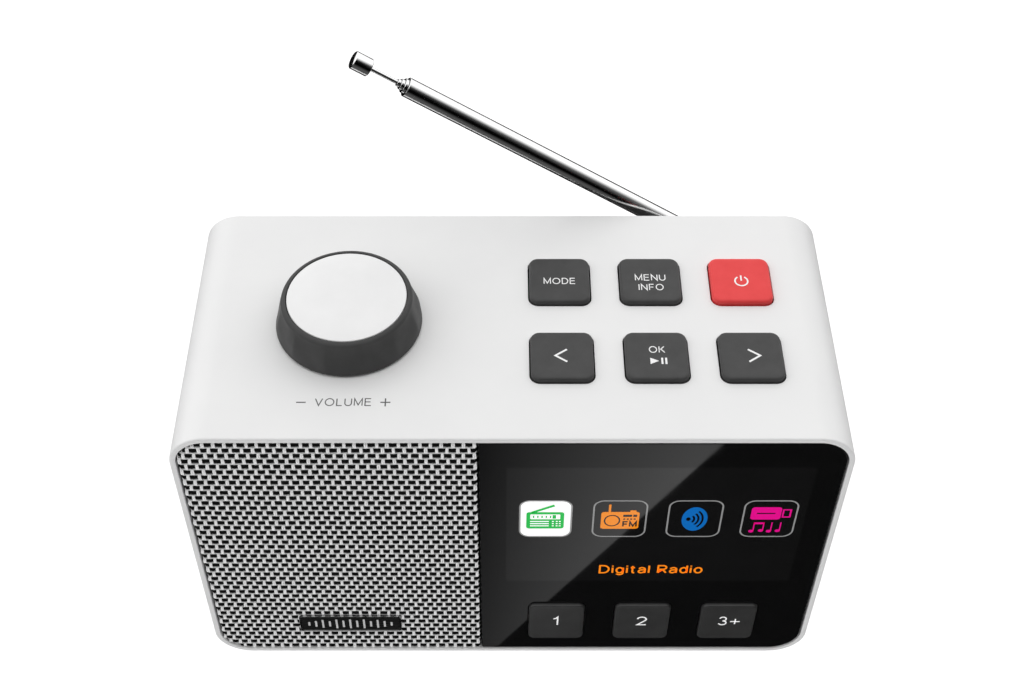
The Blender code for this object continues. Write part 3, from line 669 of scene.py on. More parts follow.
def key_mark(name, node, mesh, x, y):
    """Lay a mark on a top key, x millimetres from the cabinet's middle and y from its rim."""
    printed(name, mesh, (x * MM, front + y * MM), "top", ink_white, TOP_KEYS[node],
            "red_key" if node == "key_power" else "grey_keys", top + KEY_PROUD - MARK_SINK, layer=MARK_LAYER)


for node, number, text, left, right, low, high in (
        ("key_mode", 1, "MODE", 8.5, 16.9, 50.75, 53.0), ("key_menu", 1, "MENU", 32.7, 40.8, 52.0, 54.3),
        ("key_menu", 2, "INFO", 33.5, 40.1, 48.5, 50.8), ("key_ok", 1, "OK", 34.8, 38.9, 26.7, 28.95)):
    key_mark(f"{node}_words_{number}", node, words(text, right - left, high - low), (left + right) / 2, low)
for node, groups, x, y in (
        ("key_previous", [stroke([(1.5, 2.05), (-1.45, 0.0), (1.5, -2.05)], 0.52)], 12.45, 25.8),
        ("key_next", [stroke([(-1.5, 2.05), (1.45, 0.0), (-1.5, -2.05)], 0.52)], 61.45, 25.8),
        ("key_power", [stroke(bend(0.0, 0.0, 1.68, 1.68, 122.0, 418.0, 24), 0.42),
                       [loop_box(-0.21, 0.15, 0.21, 2.05)]], 60.8, 51.85),
        ("key_ok", [[[(-2.15, -1.0), (0.05, 0.05), (-2.15, 1.1)]], [loop_box(0.62, -1.0, 1.12, 1.1)],
                    [loop_box(1.62, -1.0, 2.12, 1.1)]], 37.1, 23.95)):
    key_mark(node + "_sign", node, glyph(groups), x, y)


# ---------------------------------------------------------------- volume knob
# A moulded dark grey skirt with twelve shallow flutes under a smooth lip, and a pale satin disc let
# into its top. It is pushed onto the encoder's shaft and turns without end.

KNOB_TOP = 10.0
KNOB_BASE = 0.45
SKIRT_RADIUS = 18.9
LIP_RADIUS = 16.9
LIP_ROUND = 1.25
DISC_RADIUS = 15.3
RECESS_RADIUS = DISC_RADIUS + 0.22
FLUTES = 12
FLUTE_DEPTH = 0.60
KNOB_SIDES = 288
FLARE_ROWS = 20

knob_grey = surface("knob_grey_plastic",
                    mottled(grey(67), grey(74), grain(6 * MM, 3.0)), between(0.44, 0.52, grain(4 * MM, 3.0)),
                    bump=(grain(0.18 * MM, 2.0), 0.08, 0.04 * MM), Specular_IOR_Level=0.18)
disc_white = surface("satin_pale_disc",
                     mottled((0.83, 0.83, 0.83, 1.0), (0.86, 0.86, 0.86, 1.0), grain(8 * MM, 2.0)),
                     between(0.30, 0.36, grain(2 * MM, 3.0)),
                     bump=(grain(0.25 * MM, 2.0), 0.05, 0.03 * MM))


def knob_ring(radius, rise, scoop=0.0):
    """A ring of the knob, in millimetres; scoop is how deep its flutes are, and radius 0 is a pole."""
    ring = []
    for step in range(KNOB_SIDES if radius else 1):
        angle = math.tau * step / KNOB_SIDES
        reach = (radius - scoop * abs(math.cos(angle * FLUTES / 2)) ** 1.2) * MM
        ring.append((knob.x + reach * math.cos(angle), knob.y + reach * math.sin(angle), top + rise * MM))
    return ring


flare_top = KNOB_TOP - LIP_ROUND
skirt = [(0.0, KNOB_TOP - 0.9), (RECESS_RADIUS, KNOB_TOP - 0.9)]
skirt += [(RECESS_RADIUS + inset, KNOB_TOP - 0.15 + up) for inset, up in fillet(0.15, 3)]
skirt += [(LIP_RADIUS - inset, flare_top + up) for inset, up in reversed(fillet(LIP_ROUND, 6))]
for step in range(1, FLARE_ROWS + 1):
    share = step / FLARE_ROWS
    spread = (SKIRT_RADIUS - LIP_RADIUS) * math.sin(math.pi / 2 * share)
    skirt.append((LIP_RADIUS + spread, flare_top - share * (flare_top - KNOB_BASE - 0.3),
                  FLUTE_DEPTH * math.sin(math.pi * share) ** 0.8))
skirt += [(SKIRT_RADIUS - 0.25, KNOB_BASE), (16.2, KNOB_BASE), (15.0, 6.6), (5.6, 6.6), (5.6, 4.2),
          (3.0, 4.2), (3.0, 7.9), (0.0, 7.9)]
add_rows("knob_skirt", [knob_ring(*place) for place in skirt], knob_grey, "volume_knob", "knob_grey",
         "knob_body", smooth=40.0)

disc = [(0.0, KNOB_TOP - 0.6), (DISC_RADIUS, KNOB_TOP - 0.6), (DISC_RADIUS, KNOB_TOP - 0.25)]
disc += [(DISC_RADIUS - inset, KNOB_TOP - 0.25 + up) for inset, up in fillet(0.2, 4)[1:]]
disc += [(DISC_RADIUS * 0.6, KNOB_TOP - 0.03), (0.0, KNOB_TOP - 0.03)]
add_rows("knob_disc", [knob_ring(*place) for place in disc], disc_white, "volume_knob", "cap_white",
         "knob_cap", smooth=40.0)


# ---------------------------------------------------------------- display window
# A polished black panel glued over the display, with three openings for the preset keys. What the
# display shows lies flush in its face: four boxed signs and a line of orange words.

window_low, window_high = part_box("display_window")
WINDOW_FACE = window_low.y
INSIDE_RADIUS = 8.1 * MM
SQUARE_CORNER = 0.6 * MM


def polished_black(name, low, high, specular):
    """A deep black, a touch blue, that wanders between two linear levels."""
    colours = [(level, level, level + 0.0002, 1.0) for level in (low, high)]
    return surface(name, mottled(*colours, grain(9 * MM, 2.0)), between(0.025, 0.045, grain(14 * MM, 5.0)),
                   Specular_IOR_Level=specular)


def lit(name, colour, strength=0.0):
    """A display colour under the window's polish."""
    dull = tuple(0.82 * channel for channel in colour[:3]) + (1.0,)
    return surface(name, mottled(dull, colour, grain(0.25 * MM, 1.0)),
                   between(0.03, 0.06, grain(8 * MM, 3.0)),
                   Emission_Color=colour, Emission_Strength=strength)


gloss_black = polished_black("gloss_black_window", 0.0050, 0.0058, 0.5)
screen_black = polished_black("screen_black", 0.0080, 0.0092, 0.66)
PRESETS = {"preset_key_1": "preset_1", "preset_key_2": "preset_2", "preset_key_3": "preset_3"}
PRESET_HALF_X = 7.85 * MM
PRESET_HALF_Z = 8.85 * MM
PRESET_RADIUS = 2.0 * MM
PRESET_GAP = 0.18 * MM
WINDOW_THICK = 2.0 * MM
WINDOW_EDGE = 0.25 * MM

window_outline = framed(window_low, window_high, (INSIDE_RADIUS,) * 2 + (SQUARE_CORNER,) * 2)
stations = [(inset, WINDOW_FACE + WINDOW_EDGE - up) for inset, up in reversed(fillet(WINDOW_EDGE, 4))]
stations.append((0.0, WINDOW_FACE + WINDOW_THICK))
window_mesh = rows_mesh("window_blank", deep(window_outline, stations))
tools = []
for name in PRESETS:
    middle = middle_of(name)
    outline = about(middle.x, middle.z, PRESET_HALF_X + PRESET_GAP, PRESET_HALF_Z + PRESET_GAP,
                    PRESET_RADIUS + PRESET_GAP)
    tools.append(prism(outline, (WINDOW_FACE - 3 * MM, WINDOW_FACE + 5 * MM)))
add_piece("window", cut("window_blank", window_mesh, tools, (0.12 * MM, 2, 60)), gloss_black, "root",
          "gloss_window", "display_window", smooth=40.0, even=True)

FILM = 0.010 * MM


def on_window(name, mesh, material, layer_number, centre=(0.0, 0.0)):
    """Lay a flat mesh on the window; layers are numbered from the face outwards."""
    return printed(name, mesh, (centre[0] * MM, base + centre[1] * MM), "front", material, "root",
                   "gloss_window", WINDOW_FACE, lift=layer_number * 2 * FILM, layer=FILM)


on_window("screen_zone", glyph([[loop_box(-1.4, 37.6, 76.1, 89.4, 0.6)]]), screen_black, 0)

icon_white = lit("display_white", grey(252), 0.40)
icon_outline = lit("display_grey_line", grey(168), 0.05)
icon_green = lit("display_green", tint(36, 196, 82), 0.24)
icon_orange = lit("display_orange", tint(246, 142, 30), 0.30)
icon_blue = lit("display_blue", tint(18, 108, 190), 0.25)
icon_pink = lit("display_pink", tint(232, 18, 142), 0.28)
words_orange = lit("display_words_orange", tint(254, 138, 26), 0.40)
icon_black = lit("display_black", (0.006, 0.006, 0.006, 1.0))

ICON_LOW = 58.9
ICON_HIGH = 75.4
ICON_SPANS = ((1.9, 15.7), (21.0, 35.1), (40.4, 54.6), (59.8, 73.9))
ICON_LINE = 0.42
ICON_RADIUS = 2.9


def icon_loop(left, right, inset=0.0):
    """The outline of the box round a sign."""
    return loop_box(left + inset, ICON_LOW + inset, right - inset, ICON_HIGH - inset, ICON_RADIUS - inset, 8)


on_window("icon_field_1", glyph([[icon_loop(*ICON_SPANS[0], ICON_LINE)]]), icon_white, 1)
for number, span in enumerate(ICON_SPANS, 1):
    loops = [icon_loop(*span), icon_loop(*span, ICON_LINE)]
    on_window(f"icon_box_{number}", glyph([loops]), icon_outline, 1)

# A green set with a raised antenna, a tuning scale, sound slots and a block of studs.
green_set = [
    [loop_box(3.8, 62.8, 13.6, 70.2, 0.8), loop_box(4.8, 67.0, 12.6, 69.2, 0.3),
     *[loop_box(4.8, z, 9.7, z + 0.45) for z in (63.8, 64.8, 65.8)],
     *[loop_box(x, z, x + 0.5, z + 0.45) for x in (10.5, 11.5, 12.3) for z in (63.8, 64.8, 65.8)]],
    stroke([(5.2, 70.0), (11.0, 73.2)], 0.85),
    [loop_box(10.6, 67.3, 11.5, 68.9)],
    *[[loop_box(x, 67.6, x + 0.35, 68.6)] for x in (5.5, 6.6, 7.7, 8.8, 9.9)],
]
on_window("icon_green_set", glyph(green_set), icon_green, 2)

# An orange set with an upright antenna, a round loudspeaker, a slot and a row of studs.
orange_set = [
    [loop_box(23.2, 62.7, 33.1, 70.3, 0.8), loop_disc(26.1, 66.4, 2.15, 32, 2.6),
     loop_box(28.9, 68.1, 31.2, 69.1), loop_box(31.5, 68.1, 32.5, 69.1),
     *[loop_box(x, 66.8, x + 0.5, 67.4) for x in (29.0, 29.9, 30.8, 31.7)]],
    [loop_disc(26.1, 66.4, 1.75, 32, 2.15)],
    [loop_box(25.0, 70.3, 25.6, 73.6, 0.2)],
    [loop_box(30.6, 70.3, 32.2, 71.0, 0.2)],
]
on_window("icon_orange_set", glyph(orange_set), icon_orange, 2)
on_window("icon_orange_words", words("FM", 3.8, 2.7, 0.20), icon_black, 3, (30.75, 63.5))

# A blue oval with plain radiating waves.
on_window("icon_blue_oval", glyph([[loop_disc(47.5, 67.1, 3.35, 48, 5.3)]]), icon_blue, 2)
waves = [[loop_disc(45.9, 67.1, 0.6, 16, 0.8)]]
waves += [stroke(bend(45.9, 67.1, reach, 1.25 * reach, -48.0, 48.0, 14), 0.55) for reach in (1.5, 2.6, 3.7)]
on_window("icon_blue_waves", glyph(waves), icon_black, 3)

# A pink memory stick over a row of music notes.
stick = [
    [loop_box(61.9, 66.9, 69.7, 72.4, 0.9), loop_box(63.4, 69.4, 68.2, 69.9)],
    [loop_box(69.95, 67.8, 72.3, 71.5, 0.2), loop_box(70.4, 68.3, 71.85, 71.0, 0.1)],
]
for x, low in ((62.8, 61.6), (65.3, 61.9), (67.4, 61.6), (69.7, 61.8)):
    stick.append([loop_disc(x, low, 0.68, 18, 0.62)])
    stick.append([loop_box(x + 0.34, low + 0.1, x + 0.66, 65.6)])
stick.append([loop_box(63.14, 64.8, 65.96, 65.6)])
on_window("icon_pink_stick", glyph(stick), icon_pink, 2)

on_window("display_words", words("Digital Radio", 28.2, 4.1, 0.145), words_orange, 1, (37.9, 41.3))


# ---------------------------------------------------------------- preset keys
# Three dark grey caps that stand out of the window, each with a white number. They slide straight
# back on tact switches.

PRESET_PROUD = 0.8 * MM
PRESET_FILLET = 0.7 * MM
preset_grey = key_plastic("dark_soft_plastic", grey(54), grey(60), 0.30, specular=0.5)
# The numbers' white ink is given a faint glow of its own: painted light that keeps them bright.
white_ink_painted_glow = surface("white_ink_with_painted_glow", mottled(grey(240), grey(252), grain(0.4 * MM)), 0.45,
                     Emission_Color=grey(250), Emission_Strength=0.22)
NUMBERS = (("1", 1.6, -0.2), ("2", 3.0, 0.0), ("3+", 6.3, 0.7))
for (name, body), (text, wide, shift) in zip(PRESETS.items(), NUMBERS):
    middle = middle_of(name)
    mesh = key_mesh(name + "_cap", PRESET_HALF_X, PRESET_HALF_Z, PRESET_RADIUS, PRESET_PROUD, PRESET_FILLET,
                    lambda a, b, rise: (middle.x + a, WINDOW_FACE - rise, middle.z + b), lean=0.55)
    add_piece(name + "_cap", mesh, preset_grey, body, "grey_keys", name)
    # Each number is printed in the glowing white ink, a painted glow.
    printed(name + "_number", words(text, wide, 4.6, 0.105), (middle.x + shift * MM, middle.z - 1.6 * MM),
            "front", white_ink_painted_glow, body, "grey_keys", WINDOW_FACE - PRESET_PROUD + MARK_SINK, layer=MARK_LAYER)


# ---------------------------------------------------------------- grille cloth
# An open furnishing weave: paired white warp strands over thick black wefts, with a thin pale weft
# between each two rows. It is stretched over the grille frame, and its edges turn back behind the rim.

cloth_low, cloth_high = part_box("grille_cloth")
COLUMN_PITCH = 1.33 * MM
ROW_PITCH = 2.22 * MM
CLOTH_MIDDLE = front + 0.64 * MM
TURN_BACK = 0.6 * MM
random.seed(7)


def cloth_depth(x, z):
    """How far the cloth falls back near its turned edge."""
    from_left, from_right = x - cloth_low.x, cloth_high.x - x
    from_end = min(z - cloth_low.z, cloth_high.z - z)
    inside = min(from_left, from_right, from_end)
    if from_left < INSIDE_RADIUS and from_end < INSIDE_RADIUS:
        inside = INSIDE_RADIUS - math.hypot(INSIDE_RADIUS - from_left, INSIDE_RADIUS - from_end)
    share = 1.0 - min(max(inside, 0.0), TURN_BACK) / TURN_BACK
    return TURN_BACK * (1.0 - math.sqrt(1.0 - share * share))


def corner_cut(distance):
    """How much a yarn is shortened at each end where it meets a rounded corner."""
    if distance >= INSIDE_RADIUS:
        return 0.0
    return INSIDE_RADIUS - math.sqrt(INSIDE_RADIUS * INSIDE_RADIUS - (INSIDE_RADIUS - distance) ** 2)


def yarn_rows(path, half_wide, half_deep, sides, upright):
    """Rings round a yarn that runs up the cloth or across it."""
    rows = []
    for x, y, z in path:
        ring = []
        for step in range(sides):
            angle = math.tau * (step + 0.5) / sides
            wide, deep = half_wide * math.cos(angle), half_deep * math.sin(angle)
            ring.append((x + wide, y + deep, z) if upright else (x, y + deep, z + wide))
        rows.append(ring)
    return rows


def steady(values, place):
    """A smooth value between random ones at whole numbers."""
    index = int(math.floor(place)) % len(values)
    following = (index + 1) % len(values)
    share = place - math.floor(place)
    share = share * share * (3 - 2 * share)
    return values[index] * (1 - share) + values[following] * share


columns = round((cloth_high.x - cloth_low.x) / COLUMN_PITCH)
rows_count = int((cloth_high.z - cloth_low.z) / ROW_PITCH) + 1
first_column = (cloth_low.x + cloth_high.x) / 2 - (columns - 1) / 2 * COLUMN_PITCH
first_row = (cloth_low.z + cloth_high.z) / 2 - (rows_count - 1) / 2 * ROW_PITCH
WARP_RISE = 0.40 * MM
row_lean = [[random.uniform(-0.10, 0.10) * MM for _ in range(columns + 2)] for _ in range(rows_count + 1)]
column_lean = [[random.uniform(-0.14, 0.14) * MM for _ in range(rows_count + 2)] for _ in range(columns + 1)]

warps = []
SAMPLES = 4
for column in range(columns):
    x = first_column + column * COLUMN_PITCH
    trim = corner_cut(x - cloth_low.x)
    low, high = cloth_low.z + trim, cloth_high.z - trim
    levels = [first_row + (step / SAMPLES - 1) * ROW_PITCH for step in range((rows_count + 2) * SAMPLES)]
    levels = [low] + [z for z in levels if low + 0.15 * MM < z < high - 0.15 * MM] + [high]
    splay = [random.uniform(0.17, 0.26) * MM for _ in range(rows_count + 2)]
    for side in (-1, 1):
        path = []
        for z in levels:
            place = (z - first_row) / ROW_PITCH
            swing = math.cos(math.pi * (place + column))
            rise = max(-1.0, min(1.0, 1.45 * swing))
            lean = steady(column_lean[column], place + 1)
            offset = side * steady(splay, place + 1) * (0.75 + 0.25 * abs(swing))
            path.append((x + lean + offset, CLOTH_MIDDLE - rise * WARP_RISE + cloth_depth(x, z), z))
        warps.append(yarn_rows(path, 0.235 * MM, 0.17 * MM, 6, True))

thick_wefts, thin_wefts = [], []
for row in range(-1, rows_count * 2 + 1):
    z = first_row + row / 2 * ROW_PITCH
    if not cloth_low.z + 0.35 * MM < z < cloth_high.z - 0.35 * MM:
        continue
    from_end = min(z - cloth_low.z, cloth_high.z - z)
    left = cloth_low.x + corner_cut(from_end)
    black = row % 2 == 0
    places = [first_column + (step / 2 - 1) * COLUMN_PITCH for step in range((columns + 2) * 2)]
    places = [left] + [x for x in places if left + 0.2 * MM < x < cloth_high.x - 0.2 * MM] + [cloth_high.x]
    path = []
    for x in places:
        place = (x - first_column) / COLUMN_PITCH
        lean = steady(row_lean[(row // 2) % len(row_lean)], place + 1)
        swing = math.cos(math.pi * (place + row / 2)) if black else 0.0
        sink = 0.13 * MM * swing if black else -0.03 * MM
        path.append((x, CLOTH_MIDDLE + sink + cloth_depth(x, z), z + lean))
    if black:
        thick_wefts.append(yarn_rows(path, 0.64 * MM, 0.27 * MM, 8, False))
    else:
        thin_wefts.append(yarn_rows(path, 0.31 * MM, 0.20 * MM, 6, False))


def fibre(name, dark, light, stretch):
    """Spun yarn: fine fibres run along it, and its tone wanders."""
    return surface(name, mottled(dark, light, grain(0.22 * MM, 3.0, stretch)), 0.82,
                   bump=(grain(0.11 * MM, 2.0, stretch), 0.45, 0.05 * MM),
                   Specular_IOR_Level=0.15)


UPRIGHT_FIBRES = (1.0, 1.0, 0.22)
ACROSS_FIBRES = (0.22, 1.0, 1.0)
warp_white = fibre("warp_white_yarn", grey(240), grey(255), UPRIGHT_FIBRES)
weft_pale = fibre("weft_pale_yarn", grey(190), grey(238), ACROSS_FIBRES)
weft_black = fibre("weft_black_yarn", grey(4), grey(20), ACROSS_FIBRES)
# The backing is a black sheet just behind the weave, seen through its gaps: it stands in for the black
# baffle behind it and for the shade inside the case, so its black is partly painted shade.
backing_black_and_shade = surface("black_backing_and_painted_shade", mottled(grey(8), grey(16), grain(0.5 * MM)), 0.95,
                        Specular_IOR_Level=0.1)

yarn_pieces = [add_piece(name, rows_mesh(name, *yarns), material, "root", "grille_cloth", smooth=70.0)
               for name, yarns, material in (("cloth_warp", warps, warp_white),
                                             ("cloth_thick_weft", thick_wefts, weft_black),
                                             ("cloth_thin_weft", thin_wefts, weft_pale))]

# The backing sheet sits close behind the yarns so the gaps read dark: part real black baffle, part painted
# shade.
BACKING_FACE = front + 1.28 * MM
BACKING_INSET = 0.05 * MM
cloth_outline = framed(cloth_low, cloth_high, (SQUARE_CORNER,) * 2 + (INSIDE_RADIUS,) * 2, SQUARE_CORNER, 10)
backing_rows = prism(cloth_outline(BACKING_INSET), (BACKING_FACE, BACKING_FACE + 0.15 * MM))
backing = add_rows("cloth_backing", backing_rows, backing_black_and_shade, "root", "grille_cloth", "grille_cloth")


# ---------------------------------------------------------------- name plate
# A small plate pinned through the cloth: a dark lacquered field inside a polished edge, with no
# words on it, only a row of plain upright bars in silver foil.

plate_low, plate_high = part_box("nameplate")
plate_outline = framed(plate_low, plate_high, (0.9 * MM,) * 4, 0.12 * MM, 6)
plate_dark = surface("lacquered_plate", mottled(grey(24), grey(34), grain(0.4 * MM, 2.0, (0.05, 1.0, 1.0))),
                     between(0.22, 0.34, grain(0.3 * MM, 3.0, (0.05, 1.0, 1.0))))
plate_edge = surface("polished_plate_edge", mottled(grey(196), grey(214), grain(1.5 * MM)), 0.18,
                     Metallic=1.0)
PLATE_BORDER = 0.42 * MM
border_rows = [(0.0, plate_high.y), (0.0, plate_low.y + 0.12 * MM), (0.12 * MM, plate_low.y),
               (PLATE_BORDER - 0.1 * MM, plate_low.y), (PLATE_BORDER, plate_low.y + 0.12 * MM),
               (PLATE_BORDER, plate_high.y)]
add_rows("nameplate_edge", deep(plate_outline, border_rows), plate_edge, "root", "black_plastic",
         "nameplate", closed=True)
field_rows = [(PLATE_BORDER + 0.02 * MM, plate_high.y), (PLATE_BORDER + 0.02 * MM, plate_low.y + 0.2 * MM),
              (PLATE_BORDER + 0.1 * MM, plate_low.y + 0.14 * MM)]
add_rows("nameplate_field", deep(plate_outline, field_rows), plate_dark, "root", "black_plastic")
silver_foil = surface("silver_foil", mottled(grey(196), grey(222), grain(0.3 * MM)), 0.35)
BAR_HEIGHTS = (0.40, 0.65, 0.90, 0.60, 1.0, 0.75, 1.0, 0.75, 1.0, 0.60, 0.90, 0.65, 0.40)
BAR_PITCH = 1.95
BAR_TALL = 4.7
BAR_HALF = 0.29
bars = []
for number, share in enumerate(BAR_HEIGHTS):
    x, tall = (number - (len(BAR_HEIGHTS) - 1) / 2) * BAR_PITCH, share * BAR_TALL / 2
    bars.append([loop_box(x - BAR_HALF, -tall, x + BAR_HALF, tall, 0.14, 3)])
plate_middle = middle_of("nameplate")
printed("nameplate_bars", glyph(bars), (plate_middle.x, plate_middle.z), "front", silver_foil, "root",
        "black_plastic", plate_low.y + 0.14 * MM, layer=0.05 * MM)


# ---------------------------------------------------------------- telescopic antenna
# Four drawn and chromed brass tubes that slide in each other, a rod and a turned button tip. A flat
# tongue plugged into the first tube tilts between two ears on a swivelling turret on the rear panel.

chrome = surface("chrome_plate",
                 mottled((0.87, 0.87, 0.87, 1.0), (0.91, 0.91, 0.91, 1.0), grain(5 * MM, 2.0)),
                 between(0.14, 0.19, grain(1.2 * MM, 4.0, (0.15, 1.0, 0.15))), Metallic=1.0)
steel = surface("plated_steel", mottled(grey(172), grey(198), grain(1.5 * MM, 3.0)),
                between(0.28, 0.42, grain(0.6 * MM, 3.0)), Metallic=1.0)
black_plastic = surface("black_moulded_plastic", mottled(grey(33), grey(37), grain(4 * MM, 2.0)),
                        between(0.50, 0.62, grain(2 * MM, 3.0)),
                        bump=(grain(0.35 * MM, 3.0), 0.35, 0.08 * MM))
RIGHT = Vector((1.0, 0.0, 0.0))
UP = Vector((0.0, 0.0, 1.0))


def turned(centre, axes, profile, sides=48):
    """Rings about the first of three axes, from (distance, radius) in millimetres; radius 0 is a pole."""
    axis, first, second = axes
    rows = []
    for distance, radius in profile:
        angles = [math.tau * step / sides for step in range(sides if radius else 1)]
        middle = centre + axis * (distance * MM)
        rows.append([tuple(middle + (first * math.cos(angle) + second * math.sin(angle)) * (radius * MM))
                     for angle in angles])
    return rows


ALONG = (run, rear, hinge)
TUBE_1_END = 117.4
TUBE_STEP = 0.9
TUBE_LIP = 0.08
TUBES = (("antenna_tube_1", "antenna_arm", 6.5, 2.65, 2.30),
         ("antenna_tube_2", "antenna_section_2", 8.5, 2.00, 1.72),
         ("antenna_tube_3", "antenna_section_3", 9.5, 1.48, 1.25),
         ("antenna_tube_4", "antenna_section_4", 10.5, 1.02, 0.82))
for number, (node, body, start, outer, inner) in enumerate(TUBES):
    end = TUBE_1_END + TUBE_STEP * number
    profile = [(start, inner), (start, outer - TUBE_LIP), (start + TUBE_LIP, outer), (end - 0.16, outer),
               (end - 0.05, outer - 0.05), (end, outer - 0.16), (end, inner)]
    add_rows(node + "_chromed", turned(pivot, ALONG, profile), chrome, body, "chrome", node, closed=True,
             smooth=50.0, even=True)

ROD_START = 20.0
ROD_END = 130.3
ROD_RADIUS = 0.6
rod = [(ROD_START, 0.0), (ROD_START, ROD_RADIUS), (ROD_END, ROD_RADIUS), (ROD_END, 0.0)]
add_rows("antenna_rod_chromed", turned(pivot, ALONG, rod, 24), chrome, "antenna_end", "chrome",
         "antenna_rod", smooth=50.0, even=True)
TIP_START = 128.3
TIP_END = 133.2
TIP_RADIUS = 2.44
TIP_EDGE = 0.2
tip = [(TIP_START + 2.3, 0.0), (TIP_START + 2.3, 0.9), (TIP_START, 0.9),
       (TIP_START, TIP_RADIUS - TIP_EDGE), (TIP_START + TIP_EDGE, TIP_RADIUS),
       (TIP_END - TIP_EDGE, TIP_RADIUS), (TIP_END, TIP_RADIUS - TIP_EDGE), (TIP_END, 0.0)]
add_rows("antenna_tip_turned", turned(pivot, ALONG, tip, 64), chrome, "antenna_end", "chrome",
         "antenna_tip", smooth=50.0, even=True)

panel_low, panel_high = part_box("rear_panel")
panel_back = panel_high.y
face_back = panel_back - pivot.y
BACKWARD = (rear, RIGHT, UP)
TURRET_RADIUS = 6.8
TURRET_BACK = 4.2
TURRET_ROUND = 0.9
turret = [(-4.4, 0.0), (-4.4, 4.0), (-2.9, 4.8), (-2.9, 3.6), (0.4, 3.6), (0.4, TURRET_RADIUS - 0.1),
          (0.5, TURRET_RADIUS), (3.2, TURRET_RADIUS)]
turret += [(TURRET_BACK - TURRET_ROUND + up, TURRET_RADIUS - inset) for inset, up in fillet(TURRET_ROUND, 5)]
turret.append((TURRET_BACK, 0.0))
add_rows("antenna_turret_disc", turned(pivot + rear * face_back, BACKWARD, turret, 64), black_plastic,
         "antenna_swivel", "black_plastic", "antenna_turret")


def round_ended(width, start, centre, steps=16):
    """A strip from start with a half-round far end about centre."""
    angles = [math.pi * step / steps for step in range(steps + 1)]
    far_end = [(width * math.cos(angle), centre + width * math.sin(angle)) for angle in angles]
    return [(-width, start), (width, start)] + far_end


def plate_rows(outline_at, low, high, edge=0.2 * MM):
    """Rows of a flat part with eased edges between two heights along the hinge; outline_at(inset)."""
    return [[tuple(pivot + run * a + rear * b + hinge * rise) for a, b in outline_at(inset)]
            for inset, rise in ((edge, low), (0.0, low + edge), (0.0, high - edge), (edge, high))]


EAR = 3.0 * MM
for number, (low, high) in enumerate(((-3.5 * MM, -1.9 * MM), (1.9 * MM, 3.5 * MM)), 1):
    ear = plate_rows(lambda inset: round_ended(EAR - inset, face_back + 3.8 * MM, 0.0), low, high)
    add_rows(f"antenna_ear_{number}", ear, black_plastic, "antenna_swivel", "black_plastic")
PIN = ((-4.4, 0.0), (-4.35, 0.9), (-4.1, 1.5), (-3.8, 1.7), (-3.8, 1.0), (3.8, 1.0), (3.8, 1.7), (4.1, 1.5),
       (4.35, 0.9), (4.4, 0.0))
add_rows("antenna_pin", turned(pivot, (hinge, run, rear), PIN, 32), steel, "antenna_swivel", "plated_steel",
         "antenna_hinge_pin", smooth=50.0)
tongue = plate_rows(lambda inset: [(-y, x) for x, y in round_ended(2.7 * MM - inset, -5.2 * MM, 0.0)],
                    -1.6 * MM, 1.6 * MM)
add_rows("antenna_tongue", tongue, chrome, "antenna_arm", "chrome", "antenna_knuckle")
PLUG = ((4.4, 0.0), (4.4, 2.35), (4.7, 2.65), (6.0, 2.65), (6.2, 2.5), (6.2, 2.0), (7.9, 2.0), (7.9, 0.0))
add_rows("antenna_plug", turned(pivot, ALONG, PLUG), chrome, "antenna_arm", "chrome", smooth=50.0)


# ---------------------------------------------------------------- rear panel
# A flat moulded back in grained black plastic, let into the sleeve and held by four screws. It has
# the antenna's turret near its top corner and a row of sockets along its foot.


def back_ring(node, radius, sides=40):
    """A round loop about a node's middle, seen from behind."""
    middle = middle_of(node)
    return loop_disc(middle.x, middle.z, radius, sides)


SCREWS = ("rear_screw_1", "rear_screw_2", "rear_screw_3", "rear_screw_4")
JACKS = ("headphone_jack", "aux_jack")
usb = middle_of("usb_socket")
holes = [back_ring("dc_inlet", 4.7 * MM), loop_disc(pivot.x, pivot.z, 4.0 * MM, 40)]
holes += [back_ring(node, 4.0 * MM) for node in JACKS]
holes += [back_ring(node, 1.7 * MM, 20) for node in SCREWS]
holes.append(about(usb.x, usb.z, 7.6 * MM, 4.0 * MM, 0.6 * MM, 4))
PANEL_EDGE = 0.3 * MM
panel_rows = deep(framed(panel_low, panel_high, (INSIDE_RADIUS,) * 4),
                  ((0.0, panel_low.y), (0.0, panel_back - PANEL_EDGE), (PANEL_EDGE, panel_back)))
tools = [prism(outline, (panel_low.y - 2 * MM, panel_back + 2 * MM)) for outline in holes]
panel_mesh = cut("panel_blank", rows_mesh("panel_blank", panel_rows), tools, (0.18 * MM, 2, 60))
add_piece("rear_cover", panel_mesh, black_plastic, "root", "black_plastic", "rear_panel", smooth=40.0,
          even=True)


# ---------------------------------------------------------------- sockets
# A barrel inlet with its contact pin, two small round jacks with metal linings, and a flat host
# socket with its tongue, all soldered to the main board behind the rear panel.


def turned_back(node, profile, sides=48):
    """Rings about a node's middle, from (distance behind the rear panel, radius) in millimetres."""
    middle = middle_of(node)
    return turned(Vector((middle.x, panel_back, middle.z)), BACKWARD, profile, sides)


